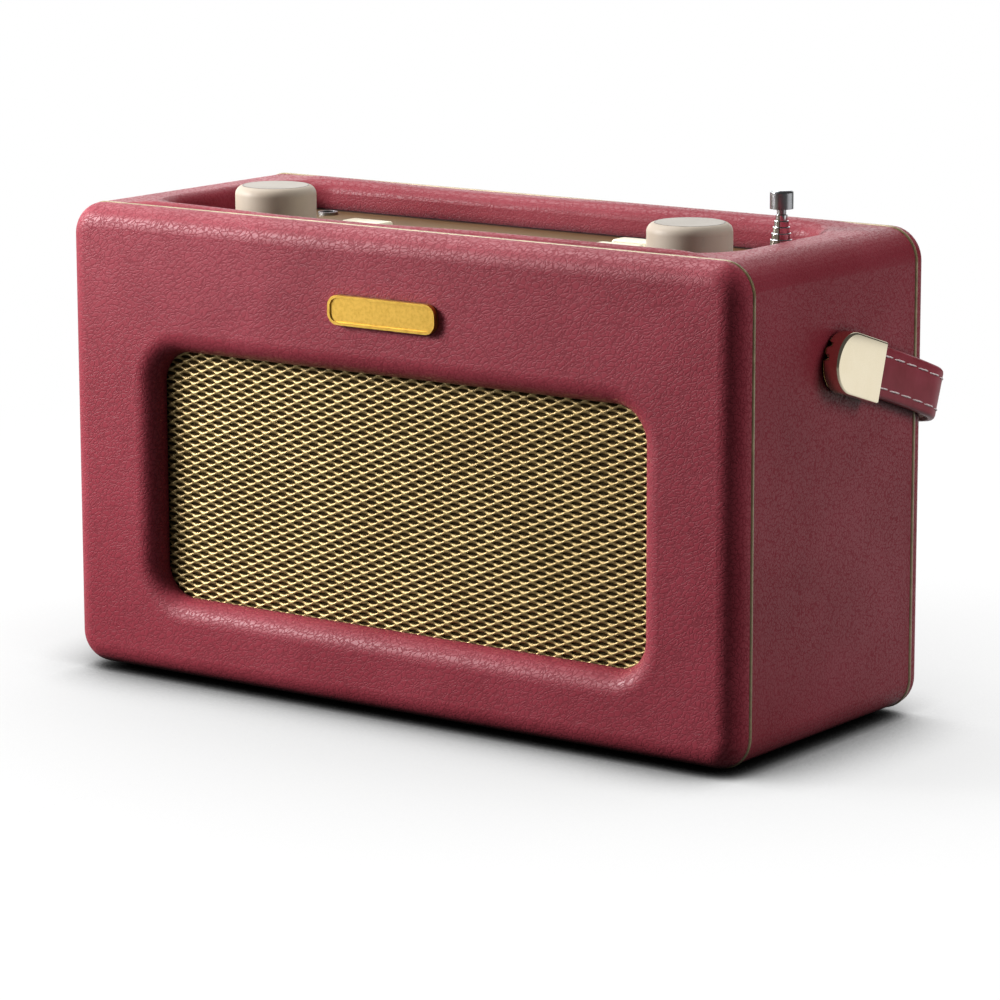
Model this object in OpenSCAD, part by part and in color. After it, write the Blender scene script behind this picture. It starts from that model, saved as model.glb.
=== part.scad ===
// Portable radio: a leather-covered wooden cabinet with a sunken control panel,
// a telescopic aerial and a carrying strap that folds down behind the back.
// Millimetres, +Z up, front towards -Y, standing on the plane z = 0.

/* [Cabinet] */
// Width of the cabinet over its leather
cab_w = 250; // [242:1:280]
// Height of the cabinet without the feet
cab_h = 147; // [142:1:170]
// Depth from the front face to the back face
cab_d = 102; // [100:1:116]
// Radius of the cabinet's four long corners
corner_r = 10; // [10:0.5:12]
// Thickness of the wooden walls
wood_t = 7.5; // [6.5:0.1:8.5]
// Thickness of the leather
leather_t = 1.2; // [1.0:0.1:1.6]
// Diameter of the piping cord in the two seams
piping_d = 1.5; // [1.2:0.1:1.8]
// Height of the rubber feet
foot_h = 2; // [1.5:0.1:4]
// Diameter of the rubber feet
foot_d = 14; // [10:0.5:16]

/* [Front] */
// Depth of the front frame
front_t = 8; // [8:0.1:9]
// Rounding of the front frame's outer edge
front_edge_r = 7; // [5:0.1:7]
// Distance from the cabinet's side to the grille opening
open_side = 34; // [33:0.5:42]
// Height of the grille opening
open_h = 78; // [70:1:80]
// Corner radius of the grille opening
open_r = 10.5; // [8:0.1:14]
// Lower edge of the grille opening above the cabinet's underside
open_low = 24.7; // [23:0.1:26]
// Thickness of the grille sheet
grille_t = 1; // [0.8:0.1:1]
// Width of the plain badge
badge_w = 40; // [30:1:46]
// Height of the plain badge
badge_h = 9; // [8:0.5:11]
// Middle of the badge below the cabinet's top
badge_drop = 24.5; // [23:0.5:26]

/* [Back] */
// Thickness of the back panel
back_t = 5; // [5:0.1:6]
// Rounding of the back panel's outer edge
back_edge_r = 3; // [2:0.1:3.5]
// Width of the battery door
door_w = 108; // [106:1:112]
// Height of the battery door
door_h = 46; // [45:1:48]
// Thickness of the battery door
door_t = 3; // [2.8:0.1:3.2]
// Lower edge of the battery door above the cabinet's underside
door_z = 14; // [13:0.5:16]

/* [Control panel] */
// Distance from the cabinet's side to the well in its top
well_side = 20; // [19:0.5:22]
// Distance from the cabinet's front and back to the well
well_edge = 15; // [15:0.5:17]
// Corner radius of the well
well_r = 18; // [14:1:20]
// Rounding of the well's leather rim
rim_r = 4; // [3:0.1:4]
// Thickness of the metal panel
fascia_t = 2; // [1.8:0.1:2.4]
// Diameter of the two knobs
knob_d = 25.5; // [24:0.5:28]
// Height of the knobs above the cabinet's top
knob_proud = 4; // [3:0.5:6]
// Distance of the knobs' middle from the side of the well
knob_in = 27; // [26:0.5:28]
// Length of a button
button_w = 16; // [14:0.5:17]
// Width of a button
button_d = 7.5; // [6.5:0.5:8]
// Height of a button above the panel
button_h = 2.5; // [2:0.1:4]
// Width of the display window
display_w = 52; // [46:1:54]
// Depth of the display window
display_d = 36; // [30:1:37]

/* [Aerial] */
// Diameter of the aerial's outer sleeve
sleeve_d = 7.6; // [7.4:0.1:8]
// Diameter of the aerial's tip
tip_d = 7; // [6:0.1:7.4]
// Step between one section's end and the next
aerial_step = 1.85; // [1.6:0.05:2]
// Top of the sleeve below the cabinet's top
sleeve_drop = 4.85; // [4:0.05:6]

/* [Handle] */
// Width of the strap
strap_w = 15.5; // [14:0.5:16]
// Thickness of the strap
strap_t = 3.2; // [2.8:0.1:3.6]
// Reach of the strap from its pivots
strap_reach = 67; // [67:0.5:78]
// Outer radius of the strap's bends
strap_bend_r = 17; // [12:1:17]
// Angle at which the strap hangs below the level
strap_droop = 17; // [12:1:20]
// Width of the metal end caps
cap_w = 18.4; // [18:0.1:19]
// Length of the end caps behind the pivot
cap_l = 17; // [15:0.5:20]
// Pivots below the cabinet's top
pivot_drop = 34; // [31:0.5:36]

/* [Hidden] */
$fn = 64;
fit = 0.05;
loose = 0.25;

// Heights
cab_mid_z = foot_h + cab_h / 2;
cab_top = foot_h + cab_h;
wall_t = wood_t + leather_t;
floor_z = foot_h + wall_t;
ceiling_z = cab_top - wall_t;
fascia_top = ceiling_z;
fascia_low = fascia_top - fascia_t;
open_w = cab_w - 2 * open_side;
open_cz = foot_h + open_low + open_h / 2;
badge_cz = cab_top - badge_drop;
pivot_cz = cab_top - pivot_drop;

// Places from front to back, with the origin under the middle of the whole
badge_t = 1.8;
foot_in = 20;
foot_edge = 0.5;
pivot_dy = 2;
front_reach = cab_d / 2 + badge_t;
rear_reach = pivot_dy + strap_reach * cos(strap_droop) + strap_w / 2 * sin(strap_droop);
cab_y = (front_reach - rear_reach) / 2;
front_y = cab_y - cab_d / 2;
back_y = cab_y + cab_d / 2;
front_seam = front_y + front_t;
back_seam = back_y - back_t;
tube_l = back_seam - front_seam;
seam_gap = piping_d + 2 * fit;
pipe_in = leather_t - fit - piping_d / 2;

// Room inside the wooden tube
room_w = cab_w - 2 * wall_t;
room_h = cab_h - 2 * wall_t;
room_r = corner_r - wall_t;

// Front frame, its rolled lip and the grille
lap = 0.5;
lip_r = front_t - grille_t;
grille_rim = 5;
badge_pin_r = 1;
badge_pin_l = 4;
badge_pin_gap = badge_w - 16;
badge_rim = 0.9;
badge_rim_t = 0.4;
badge_r = badge_h / 2 - 0.9;

// Speakers and their board
baffle_t = 9;
baffle_y = front_seam + baffle_t;
baffle_top = fascia_low - 2.5;
speaker_x = open_w / 4;
speaker_r = 39;
speaker_hole_r = 33;
speaker_flange_t = 3;
speaker_depth = 21;
speaker_wall = 1.5;
cone_depth = 15;
cone_t = 1.2;
cone_roll = 4.4;
cone_gap = 0.1;
coil_r = 10;
dust_cap_h = 4;
magnet_r = 22;
magnet_t = 12;
pole_r = 8.8;
speaker_screw_r = 1.4;
speaker_screw_pcr = 36.7;
speaker_screw_l = 5;
speaker_screw_head_r = 2.1;
speaker_screw_head_t = 1.6;

// Back panel, battery door and what stands behind them
block = 14;
block_in = 6;
block_drop = 3;
back_screw_r = 1.6;
back_screw_l = 8;
back_screw_head_r = 3.2;
back_screw_head_t = 1.5;
blocks_z = [floor_z + block_drop, fascia_low - block_drop - block];
door_gap = 0.4;
door_pin_r = 0.75;
door_pin_l = door_w + 7;
hinge_y = back_y - door_t / 2;
hinge_z = foot_h + door_z + door_t / 2;
cell_d = 14.2;
cell_l = 49.2;
cell_pitch = 14.6;
tray_wall = 1.6;
tray_d = cell_d + 2.6;
tray_in_w = 2 * cell_l + 4;
tray_in_h = 3 * cell_pitch + 0.6;
tray_z = foot_h + door_z + door_h / 2;
main_board_shift = 2.55;
tray_half = tray_in_w / 2 + tray_wall;
main_board_up = 59.3;
main_board_x = main_board_shift - (room_w / 2 + tray_half) / 2;
main_board_w = 37;
main_board_h = 84;
main_board_z = floor_z + main_board_up;
dc_up = 29.3;
dc_x = main_board_x;
dc_z = floor_z + dc_up;
dc_body = 12;
dc_proud = 0.4;
dc_pin_r = 1;
dc_bore_r = 3.1;
dc_bore_l = 10;
dc_pin_sink = 0.9;
dc_r = 5;

// Control panel
well_w = cab_w - 2 * well_side;
well_d = cab_d - 2 * well_edge;
knob_x = well_w / 2 - knob_in;
fascia_rim_x = 7;
fascia_rim_y = 6;
knob_dy = -5;
knob_lift = 0.9;
knob_edge_r = 2.8;
knob_h = cab_top + knob_proud - fascia_top - knob_lift;
inlay_edge = 2.3;
inlay_r = knob_d / 2 - inlay_edge;
inlay_t = 0.8;
knob_wall = 2;
knob_roof = 4;
hub_r = 5.2;
hub_lift = 3.7;
shaft_fit = 0.02;
shaft_sink = 3.2;
shaft_r = 3;
bush_r = 4.5;
nut_af = 11;
board_t = 1.6;
spacer_l = 8;
spacer_r = 3;
board_z = fascia_low - spacer_l;
board_side = 17;
board_front = 6;
board_back = 10;
board_aerial_gap = 6;
board_notch = 3;
spacer_knob_gap = 16;
spacer_edge = 5;
encoder_w = 12.5;
encoder_h = 6;
bore_floor = 0.8;
bush_proud = 3;
nut_t = 2;
plunger_t = 1;
plunger_lift = 1.4;
button_shift = 3.5;
button_right_x = (display_w / 2 + knob_x - knob_d / 2) / 2;
button_left_x = -button_right_x - button_shift;
button_y0 = -7;
button_pitch = 11.5;
button_r = 1.4;
button_flange = 1.2;
button_flange_rim = 1;
button_crown = 0.5;
button_stem_r = 2;
switch_w = 6;
switch_h = 4.2;
dome_r = 1.75;
dome_h = 0.8;
press_gap = 0.9;
display_dy = -2;
display_ledge = 2;
display_frame = 3;
lens_t = 1.2;
socket_side = 24;
socket_back = 11;
socket_x = socket_side - well_w / 2;
socket_dy = well_d / 2 - socket_back;
socket_body = 10;
socket_body_h = 13;
socket_bore_l = 14;
socket_collar = 0.8;
socket_nut_r = 3.2;
socket_nut_t = 0.9;
socket_r = 1.8;
collar_r = 2.5;
fascia_screw_r = 1.5;
fascia_screw_l = 4;
fascia_screw_head_r = 2.8;
fascia_screw_head_t = 1.8;
fascia_screw_hole = 5;
fascia_screws_at = [
  for (sx = [-1, 1], sy = [-1, 1]) [sx * knob_x, sy * (well_d / 2 + fascia_rim_y / 2)],
  for (sx = [-1, 1]) [sx * (well_w / 2 + fascia_rim_x / 2), 0]
];
buttons_at = [
  [button_left_x, button_y0],
  [button_left_x, button_y0 + button_pitch],
  [button_right_x, button_y0],
  [button_right_x, button_y0 + button_pitch],
  [button_right_x, button_y0 + 2 * button_pitch]
];

// Aerial: a fixed sleeve, five sliding tubes and the rod with its tip
aerial_in = 13;
aerial_x = well_w / 2 - aerial_in;
aerial_dy = well_d / 2 - aerial_in;
aerial_up = 23.3;
tubes = 5;
tube_wall = 0.35;
tube_shrink = 2 * (tube_wall + fit);
aerial_foot = floor_z + aerial_up;
sleeve_top = cab_top - sleeve_drop;
tube_round = 0.3;
rod_d = sleeve_d - (tubes + 1) * tube_shrink;
tip_neck = 1.6;
tip_h = 5.6;
tip_edge = 0.8;
clamp_w = 12;
clamp_h = 14;
clamp_floor = 2;

// Handle
pivot_r = 2.5;
pivot_head_r = 4.5;
pivot_head_t = 0.7;
strap_gap = 0.75;
arm_in = cab_w / 2 + strap_gap;
arm_out = arm_in + strap_t;
cap_rim_gap = 0.5;
cap_wall = 1.2;
cap_skin = 1.15;
cap_room = pivot_head_t + 3 * fit;
notch_w = 1.2;
pivot_nut_af = 8;
pivot_nut_t = 4;
pivot_end = 1;
notch_pitch = 4;
notch_l = 1.4;
boss_gap = 3;

leather = [0.58, 0.22, 0.27];
timber = [0.72, 0.58, 0.40];
gold = [0.80, 0.68, 0.42];
chrome = [0.85, 0.86, 0.88];
steel = [0.62, 0.63, 0.65];
black_plastic = [0.12, 0.12, 0.13];
board_green = [0.12, 0.34, 0.22];
knob_grey = [0.62, 0.57, 0.50];
cream = [0.88, 0.84, 0.72];

// Flat outlines
module rounded_rect(w, h, r) {
  square([w - 2 * r, h], center = true);
  square([w, h - 2 * r], center = true);
  for (sx = [-1, 1], sy = [-1, 1])
    translate([sx * (w / 2 - r), sy * (h / 2 - r)])
      circle(r);
}

module quarter_disc(r) {
  intersection() {
    circle(r);
    square(r);
  }
}

module quarter_ring(outer, inner) {
  difference() {
    quarter_disc(outer);
    circle(inner);
  }
}

// A profile carried round a rounded rectangle, its x pointing outwards
module frame_sweep(w, h, r) {
  for (k = [0 : 3]) {
    run = k % 2 == 0 ? h : w;
    reach = (k % 2 == 0 ? w : h) / 2;
    rotate(90 * k) {
      translate([reach, run / 2 - r, 0])
        rotate([90, 0, 0])
          linear_extrude(run - 2 * r)
            children();
      translate([reach - r, run / 2 - r, 0])
        rotate_extrude(angle = 90)
          translate([r, 0])
            children();
    }
  }
}

// Work drawn flat, then stood up: x stays, y goes up and z goes to the front or the back
module facing_front(y, z) {
  translate([0, y, z])
    rotate([90, 0, 0])
      children();
}

module facing_back(y, z) {
  translate([0, y, z])
    mirror([0, 1, 0])
      rotate([90, 0, 0])
        children();
}

// A place on the control panel, measured from the cabinet's middle
module on_panel(x, dy, z) {
  translate([x, cab_y + dy, z])
    children();
}

module both_sides() {
  children();
  mirror([1, 0, 0])
    children();
}

// The handle's own frame: pivots on the X axis, strap along +Y, tilted to its rest
module at_pivot(tilt) {
  translate([0, cab_y + pivot_dy, pivot_cz])
    rotate([-tilt, 0, 0])
      children();
}

module along_x(from, to) {
  translate([from, 0, 0])
    rotate([90, 0, 90])
      linear_extrude(to - from)
        children();
}

module pan_screw(r, length, head_r, head_t) {
  cylinder(r = r, h = length);
  translate([0, 0, -head_t])
    cylinder(r = head_r, h = head_t);
}

module pivot_holes(r) {
  at_pivot(0)
    along_x(-cab_w / 2 - 1, cab_w / 2 + 1)
      circle(r);
}

// Cabinet
module cabinet_shell() {
  core_rim = rim_r - leather_t;
  color(timber) difference() {
    union() {
      difference() {
        facing_front(back_seam, cab_mid_z)
          linear_extrude(tube_l)
            difference() {
              rounded_rect(cab_w - 2 * leather_t, cab_h - 2 * leather_t, corner_r - leather_t);
              rounded_rect(room_w, room_h, room_r);
            }
        on_panel(0, 0, ceiling_z - 1)
          linear_extrude(wall_t + 2)
            rounded_rect(well_w + 2 * rim_r, well_d + 2 * rim_r, well_r + rim_r);
      }
      on_panel(0, 0, ceiling_z)
        frame_sweep(well_w + 2 * rim_r, well_d + 2 * rim_r, well_r + rim_r)
          mirror([1, 0]) {
            translate([-lap, 0])
              square([lap, wood_t]);
            square([core_rim, wood_t - core_rim]);
            translate([0, wood_t - core_rim])
              quarter_disc(core_rim);
          }
    }
    for (p = fascia_screws_at)
      on_panel(p[0], p[1], ceiling_z - 1)
        cylinder(r = fascia_screw_r + fit, h = fascia_screw_hole + 1);
    pivot_holes(pivot_r + fit);
  }
}

module cabinet_wrap() {
  color(leather) difference() {
    union() {
      difference() {
        facing_front(back_seam - seam_gap / 2, cab_mid_z)
          linear_extrude(tube_l - seam_gap)
            difference() {
              rounded_rect(cab_w, cab_h, corner_r);
              rounded_rect(cab_w - 2 * leather_t, cab_h - 2 * leather_t, corner_r - leather_t);
            }
        on_panel(0, 0, ceiling_z)
          linear_extrude(wall_t + 1)
            rounded_rect(well_w + 2 * rim_r, well_d + 2 * rim_r, well_r + rim_r);
      }
      on_panel(0, 0, ceiling_z)
        frame_sweep(well_w + 2 * rim_r, well_d + 2 * rim_r, well_r + rim_r)
          mirror([1, 0]) {
            translate([-lap, wood_t])
              square([lap, leather_t]);
            translate([rim_r - leather_t, 0])
              square([leather_t, wall_t - rim_r]);
            translate([0, wall_t - rim_r])
              quarter_ring(rim_r, rim_r - leather_t);
          }
    }
    pivot_holes(pivot_r + fit);
  }
}

module corner_blocks() {
  color(timber)
    for (z = blocks_z)
      both_sides()
        difference() {
          translate([room_w / 2 - 2 * block_in, back_seam - block, z])
            cube([2 * block_in, block, block]);
          translate([room_w / 2 - block_in, back_seam - back_screw_l - 1, z + block / 2])
            rotate([-90, 0, 0])
              cylinder(r = back_screw_r + fit, h = back_screw_l + 2);
        }
}

module front_frame() {
  core_t = front_t - leather_t;
  edge = front_edge_r - leather_t;
  lip = lip_r - leather_t;
  color(timber) difference() {
    union() {
      facing_front(front_seam, cab_mid_z) {
        linear_extrude(core_t)
          difference() {
            rounded_rect(cab_w - 2 * front_edge_r, cab_h - 2 * front_edge_r, corner_r - front_edge_r);
            translate([0, open_cz - cab_mid_z])
              rounded_rect(open_w + 2 * lip_r, open_h + 2 * lip_r, open_r + lip_r);
          }
        frame_sweep(cab_w - 2 * front_edge_r, cab_h - 2 * front_edge_r, corner_r - front_edge_r) {
          translate([-lap, 0])
            square([lap, core_t]);
          square([edge, core_t - edge]);
          translate([0, core_t - edge])
            quarter_disc(edge);
        }
      }
      facing_front(front_seam, open_cz)
        frame_sweep(open_w + 2 * lip_r, open_h + 2 * lip_r, open_r + lip_r)
          mirror([1, 0]) {
            translate([-lap, 0])
              square([lap, core_t]);
            square([lip, core_t - lip]);
            translate([0, core_t - lip])
              quarter_disc(lip);
          }
    }
    facing_front(front_seam + 1, open_cz)
      linear_extrude(grille_t + 1)
        rounded_rect(open_w + 2 * grille_rim, open_h + 2 * grille_rim, open_r + grille_rim);
    badge_pin_holes();
  }
}

module front_cover() {
  color(leather) difference() {
    union() {
      facing_front(front_seam, cab_mid_z) {
        frame_sweep(cab_w - 2 * front_edge_r, cab_h - 2 * front_edge_r, corner_r - front_edge_r) {
          translate([-lap, front_t - leather_t])
            square([lap, leather_t]);
          translate([0, front_t - front_edge_r])
            quarter_ring(front_edge_r, front_edge_r - leather_t);
          if (front_t - front_edge_r > seam_gap / 2)
            translate([front_edge_r - leather_t, seam_gap / 2])
              square([leather_t, front_t - front_edge_r - seam_gap / 2]);
        }
        translate([0, 0, front_t - leather_t])
          linear_extrude(leather_t)
            difference() {
              rounded_rect(cab_w - 2 * front_edge_r, cab_h - 2 * front_edge_r, corner_r - front_edge_r);
              translate([0, open_cz - cab_mid_z])
                rounded_rect(open_w + 2 * lip_r, open_h + 2 * lip_r, open_r + lip_r);
            }
      }
      facing_front(front_seam, open_cz)
        frame_sweep(open_w + 2 * lip_r, open_h + 2 * lip_r, open_r + lip_r)
          mirror([1, 0]) {
            translate([-lap, front_t - leather_t])
              square([lap, leather_t]);
            translate([0, front_t - lip_r])
              quarter_ring(lip_r, lip_r - leather_t);
          }
    }
    badge_pin_holes();
  }
}

module piping(seam_y) {
  color(gold)
    facing_front(seam_y, cab_mid_z)
      frame_sweep(cab_w - 2 * pipe_in, cab_h - 2 * pipe_in, corner_r - pipe_in)
        circle(d = piping_d);
}

module front_piping() {
  piping(front_seam);
}

module back_piping() {
  piping(back_seam);
}

module badge_pin_holes() {
  for (sx = [-1, 1])
    translate([sx * badge_pin_gap / 2, front_y - 1, badge_cz])
      rotate([-90, 0, 0])
        cylinder(r = badge_pin_r + fit, h = badge_pin_l + 2);
}

module badge() {
  color(gold) {
    facing_front(front_y, badge_cz)
      linear_extrude(badge_t - badge_rim_t)
        rounded_rect(badge_w, badge_h, badge_r);
    facing_front(front_y, badge_cz)
      linear_extrude(badge_t)
        difference() {
          rounded_rect(badge_w, badge_h, badge_r);
          rounded_rect(badge_w - 2 * badge_rim, badge_h - 2 * badge_rim, badge_r - badge_rim);
        }
    for (sx = [-1, 1])
      translate([sx * badge_pin_gap / 2, front_y - lap, badge_cz])
        rotate([-90, 0, 0])
          cylinder(r = badge_pin_r, h = badge_pin_l + lap);
  }
}

module grille() {
  color(gold)
    facing_front(front_seam, open_cz)
      linear_extrude(grille_t)
        rounded_rect(open_w + 2 * grille_rim - 2 * loose, open_h + 2 * grille_rim - 2 * loose,
          open_r + grille_rim - loose);
}

// Speakers
module at_speakers() {
  both_sides()
    translate([speaker_x, 0, 0])
      facing_back(baffle_y, open_cz)
        children();
}

module at_speaker_screws() {
  at_speakers()
    for (a = [45 : 90 : 315])
      rotate(a)
        translate([speaker_screw_pcr, 0, 0])
          children();
}

module speaker_baffle() {
  color(black_plastic) difference() {
    facing_front(front_seam + baffle_t, (floor_z + baffle_top) / 2)
      linear_extrude(baffle_t)
        rounded_rect(room_w - 2 * loose, baffle_top - floor_z, room_r);
    at_speakers()
      translate([0, 0, -baffle_t - 1])
        cylinder(r = speaker_hole_r, h = baffle_t + 2);
    at_speaker_screws()
      translate([0, 0, -speaker_screw_l - 1])
        cylinder(r = speaker_screw_r + fit, h = speaker_screw_l + 2);
  }
}

module speaker_frames() {
  wall = speaker_wall;
  color(steel) difference() {
    at_speakers()
      rotate_extrude()
        polygon([
          [speaker_hole_r, 0],
          [speaker_r, 0],
          [speaker_r, speaker_flange_t],
          [speaker_hole_r + wall, speaker_flange_t],
          [magnet_r + wall, speaker_depth - wall],
          [magnet_r + wall, speaker_depth],
          [pole_r + cone_gap, speaker_depth],
          [pole_r + cone_gap, speaker_depth - wall],
          [magnet_r, speaker_depth - wall],
          [speaker_hole_r, speaker_flange_t + wall]
        ]);
    at_speaker_screws()
      translate([0, 0, -1])
        cylinder(r = speaker_screw_r + fit, h = speaker_flange_t + 2);
  }
}

module speaker_cones() {
  edge_r = speaker_hole_r - cone_gap;
  color(black_plastic)
    at_speakers()
      rotate_extrude()
        polygon([
          [edge_r, 0],
          [edge_r, cone_t],
          [edge_r - cone_roll, cone_t],
          [coil_r, cone_depth],
          [0, cone_depth],
          [0, cone_depth - dust_cap_h],
          [coil_r / 2, cone_depth - dust_cap_h + cone_t / 2],
          [coil_r - cone_t / 2, cone_depth - cone_t],
          [edge_r - cone_roll - cone_t / 2, 0]
        ]);
}

module speaker_magnets() {
  color(steel)
    at_speakers() {
      translate([0, 0, speaker_depth])
        cylinder(r = magnet_r, h = magnet_t);
      translate([0, 0, cone_depth])
        cylinder(r = pole_r, h = speaker_depth - cone_depth + lap);
    }
}

module speaker_screws() {
  color(steel)
    at_speaker_screws()
      translate([0, 0, speaker_flange_t])
        mirror([0, 0, 1])
          pan_screw(speaker_screw_r, speaker_flange_t + speaker_screw_l, speaker_screw_head_r,
            speaker_screw_head_t);
}

// Back
module door_cut(depth) {
  facing_back(back_y - depth, foot_h + door_z + door_h / 2)
    linear_extrude(depth + 1)
      square([door_w + 2 * door_gap, door_h + 2 * door_gap], center = true);
}

module back_holes() {
  door_cut(back_t + 1);
  for (z = blocks_z)
    both_sides()
      translate([room_w / 2 - block_in, back_seam - 1, z + block / 2])
        rotate([-90, 0, 0])
          cylinder(r = back_screw_r + fit, h = back_t + 2);
  translate([dc_x, back_seam - 1, dc_z])
    rotate([-90, 0, 0])
      cylinder(r = dc_r + 2 * fit, h = back_t + 2);
  translate([-door_pin_l / 2, hinge_y, hinge_z])
    rotate([0, 90, 0])
      cylinder(r = door_pin_r + fit, h = door_pin_l);
}

module back_panel() {
  core_t = back_t - leather_t;
  edge = back_edge_r - leather_t;
  color(timber) difference() {
    facing_back(back_seam, cab_mid_z) {
      linear_extrude(core_t)
        rounded_rect(cab_w - 2 * back_edge_r, cab_h - 2 * back_edge_r, corner_r - back_edge_r);
      frame_sweep(cab_w - 2 * back_edge_r, cab_h - 2 * back_edge_r, corner_r - back_edge_r) {
        translate([-lap, 0])
          square([lap, core_t]);
        square([edge, core_t - edge]);
        translate([0, core_t - edge])
          quarter_disc(edge);
      }
    }
    back_holes();
  }
}

module back_cover() {
  color(leather) difference() {
    facing_back(back_seam, cab_mid_z) {
      translate([0, 0, back_t - leather_t])
        linear_extrude(leather_t)
          rounded_rect(cab_w - 2 * back_edge_r, cab_h - 2 * back_edge_r, corner_r - back_edge_r);
      frame_sweep(cab_w - 2 * back_edge_r, cab_h - 2 * back_edge_r, corner_r - back_edge_r) {
        translate([-lap, back_t - leather_t])
          square([lap, leather_t]);
        translate([0, back_t - back_edge_r])
          quarter_ring(back_edge_r, back_edge_r - leather_t);
        translate([back_edge_r - leather_t, seam_gap / 2])
          square([leather_t, back_t - back_edge_r - seam_gap / 2]);
      }
    }
    back_holes();
  }
}

module back_screws() {
  color(steel)
    for (z = blocks_z)
      both_sides()
        translate([room_w / 2 - block_in, back_y, z + block / 2])
          rotate([90, 0, 0])
            pan_screw(back_screw_r, back_t + back_screw_l, back_screw_head_r, back_screw_head_t);
}

module feet() {
  color(black_plastic)
    for (sy = [-1, 1])
      both_sides()
        translate([cab_w / 2 - foot_in, cab_y + sy * (cab_d / 2 - foot_in), 0])
          rotate_extrude()
            polygon([
              [0, 0],
              [foot_d / 2 - foot_edge, 0],
              [foot_d / 2, foot_edge],
              [foot_d / 2, foot_h],
              [0, foot_h]
            ]);
}

module dc_inlet() {
  mouth = spacer_l + back_t + dc_proud;
  color(black_plastic)
    translate([dc_x, back_seam - spacer_l, dc_z])
      rotate([-90, 0, 0]) {
        difference() {
          union() {
            translate([-dc_body / 2, -dc_body / 2, 0])
              cube([dc_body, dc_body, spacer_l - fit]);
            cylinder(r = dc_r, h = mouth);
          }
          translate([0, 0, mouth - dc_bore_l])
            cylinder(r = dc_bore_r, h = dc_bore_l + 1);
        }
        translate([0, 0, mouth - dc_bore_l - lap])
          cylinder(r = dc_pin_r, h = dc_bore_l - dc_pin_sink + lap);
      }
}

module main_board() {
  color(board_green)
    translate([main_board_x - main_board_w / 2, back_seam - spacer_l - board_t, main_board_z - main_board_h / 2])
      cube([main_board_w, board_t, main_board_h]);
}

module battery_tray() {
  flange = 4;
  color(black_plastic) difference() {
    union() {
      facing_front(back_seam, tray_z)
        linear_extrude(tray_d)
          square([tray_in_w + 2 * tray_wall, tray_in_h + 2 * tray_wall], center = true);
      facing_front(back_seam, tray_z)
        linear_extrude(tray_wall)
          square([door_w + 2 * flange, door_h + 2 * flange], center = true);
    }
    facing_front(back_seam + 1, tray_z)
      linear_extrude(tray_d - tray_wall + 1)
        square([tray_in_w, tray_in_h], center = true);
  }
}

module battery_cells() {
  nub_r = 2.7;
  nub_l = 1.2;
  color([0.20, 0.35, 0.55])
    for (row = [-1 : 1])
      both_sides()
        translate([fit, back_seam - tray_d + tray_wall + cell_d / 2 + fit, tray_z + row * cell_pitch])
          rotate([0, 90, 0]) {
            cylinder(d = cell_d, h = cell_l);
            translate([0, 0, cell_l])
              cylinder(r = nub_r, h = nub_l);
          }
}

module battery_door() {
  grip_w = 16;
  grip_h = 5;
  grip_t = 1.2;
  color(leather) difference() {
    union() {
      translate([-door_w / 2, back_y - door_t, hinge_z])
        cube([door_w, door_t, door_h - door_t / 2]);
      translate([-door_w / 2, hinge_y, hinge_z])
        rotate([0, 90, 0])
          cylinder(d = door_t, h = door_w);
    }
    translate([-door_w / 2 - 1, hinge_y, hinge_z])
      rotate([0, 90, 0])
        cylinder(r = door_pin_r + fit, h = door_w + 2);
    translate([-grip_w / 2, back_y - grip_t, foot_h + door_z + door_h - grip_h])
      cube([grip_w, grip_t + 1, grip_h + 1]);
  }
}

module door_pin() {
  color(steel)
    translate([-door_pin_l / 2 + fit, hinge_y, hinge_z])
      rotate([0, 90, 0])
        cylinder(r = door_pin_r, h = door_pin_l - 2 * fit);
}

// Control panel
module fascia_plate() {
  color(gold) difference() {
    on_panel(0, 0, fascia_low)
      linear_extrude(fascia_t)
        rounded_rect(well_w + 2 * fascia_rim_x, well_d + 2 * fascia_rim_y, well_r);
    for (sx = [-1, 1])
      on_panel(sx * knob_x, knob_dy, fascia_low - 1)
        cylinder(r = bush_r + loose, h = fascia_t + 2);
    for (p = buttons_at)
      on_panel(p[0], p[1], fascia_low - 1)
        linear_extrude(fascia_t + 2)
          rounded_rect(button_w + 2 * loose, button_d + 2 * loose, button_r + loose);
    for (p = fascia_screws_at)
      on_panel(p[0], p[1], fascia_low - 1)
        cylinder(r = fascia_screw_r + fit, h = fascia_t + 2);
    on_panel(0, display_dy, fascia_low - 1)
      linear_extrude(fascia_t + 2)
        square([display_w - 2 * display_ledge, display_d - 2 * display_ledge], center = true);
    on_panel(0, display_dy, fascia_top - lens_t)
      linear_extrude(lens_t + 1)
        square([display_w + 2 * fit, display_d + 2 * fit], center = true);
    on_panel(socket_x, socket_dy, fascia_low - 1)
      cylinder(r = collar_r + fit, h = fascia_t + 2);
    on_panel(aerial_x, aerial_dy, fascia_low - 1)
      cylinder(d = sleeve_d + 2 * fit, h = fascia_t + 2);
  }
}

module fascia_screws() {
  color(steel)
    for (p = fascia_screws_at)
      on_panel(p[0], p[1], fascia_low)
        pan_screw(fascia_screw_r, fascia_t + fascia_screw_l, fascia_screw_head_r, fascia_screw_head_t);
}

module display_lens() {
  color([0.16, 0.10, 0.18])
    on_panel(0, display_dy, fascia_top - lens_t)
      linear_extrude(lens_t)
        square([display_w, display_d], center = true);
}

module display_module() {
  color(black_plastic)
    on_panel(0, display_dy, board_z)
      linear_extrude(spacer_l)
        square([display_w + 2 * display_frame, display_d + 2 * display_frame], center = true);
}

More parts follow.
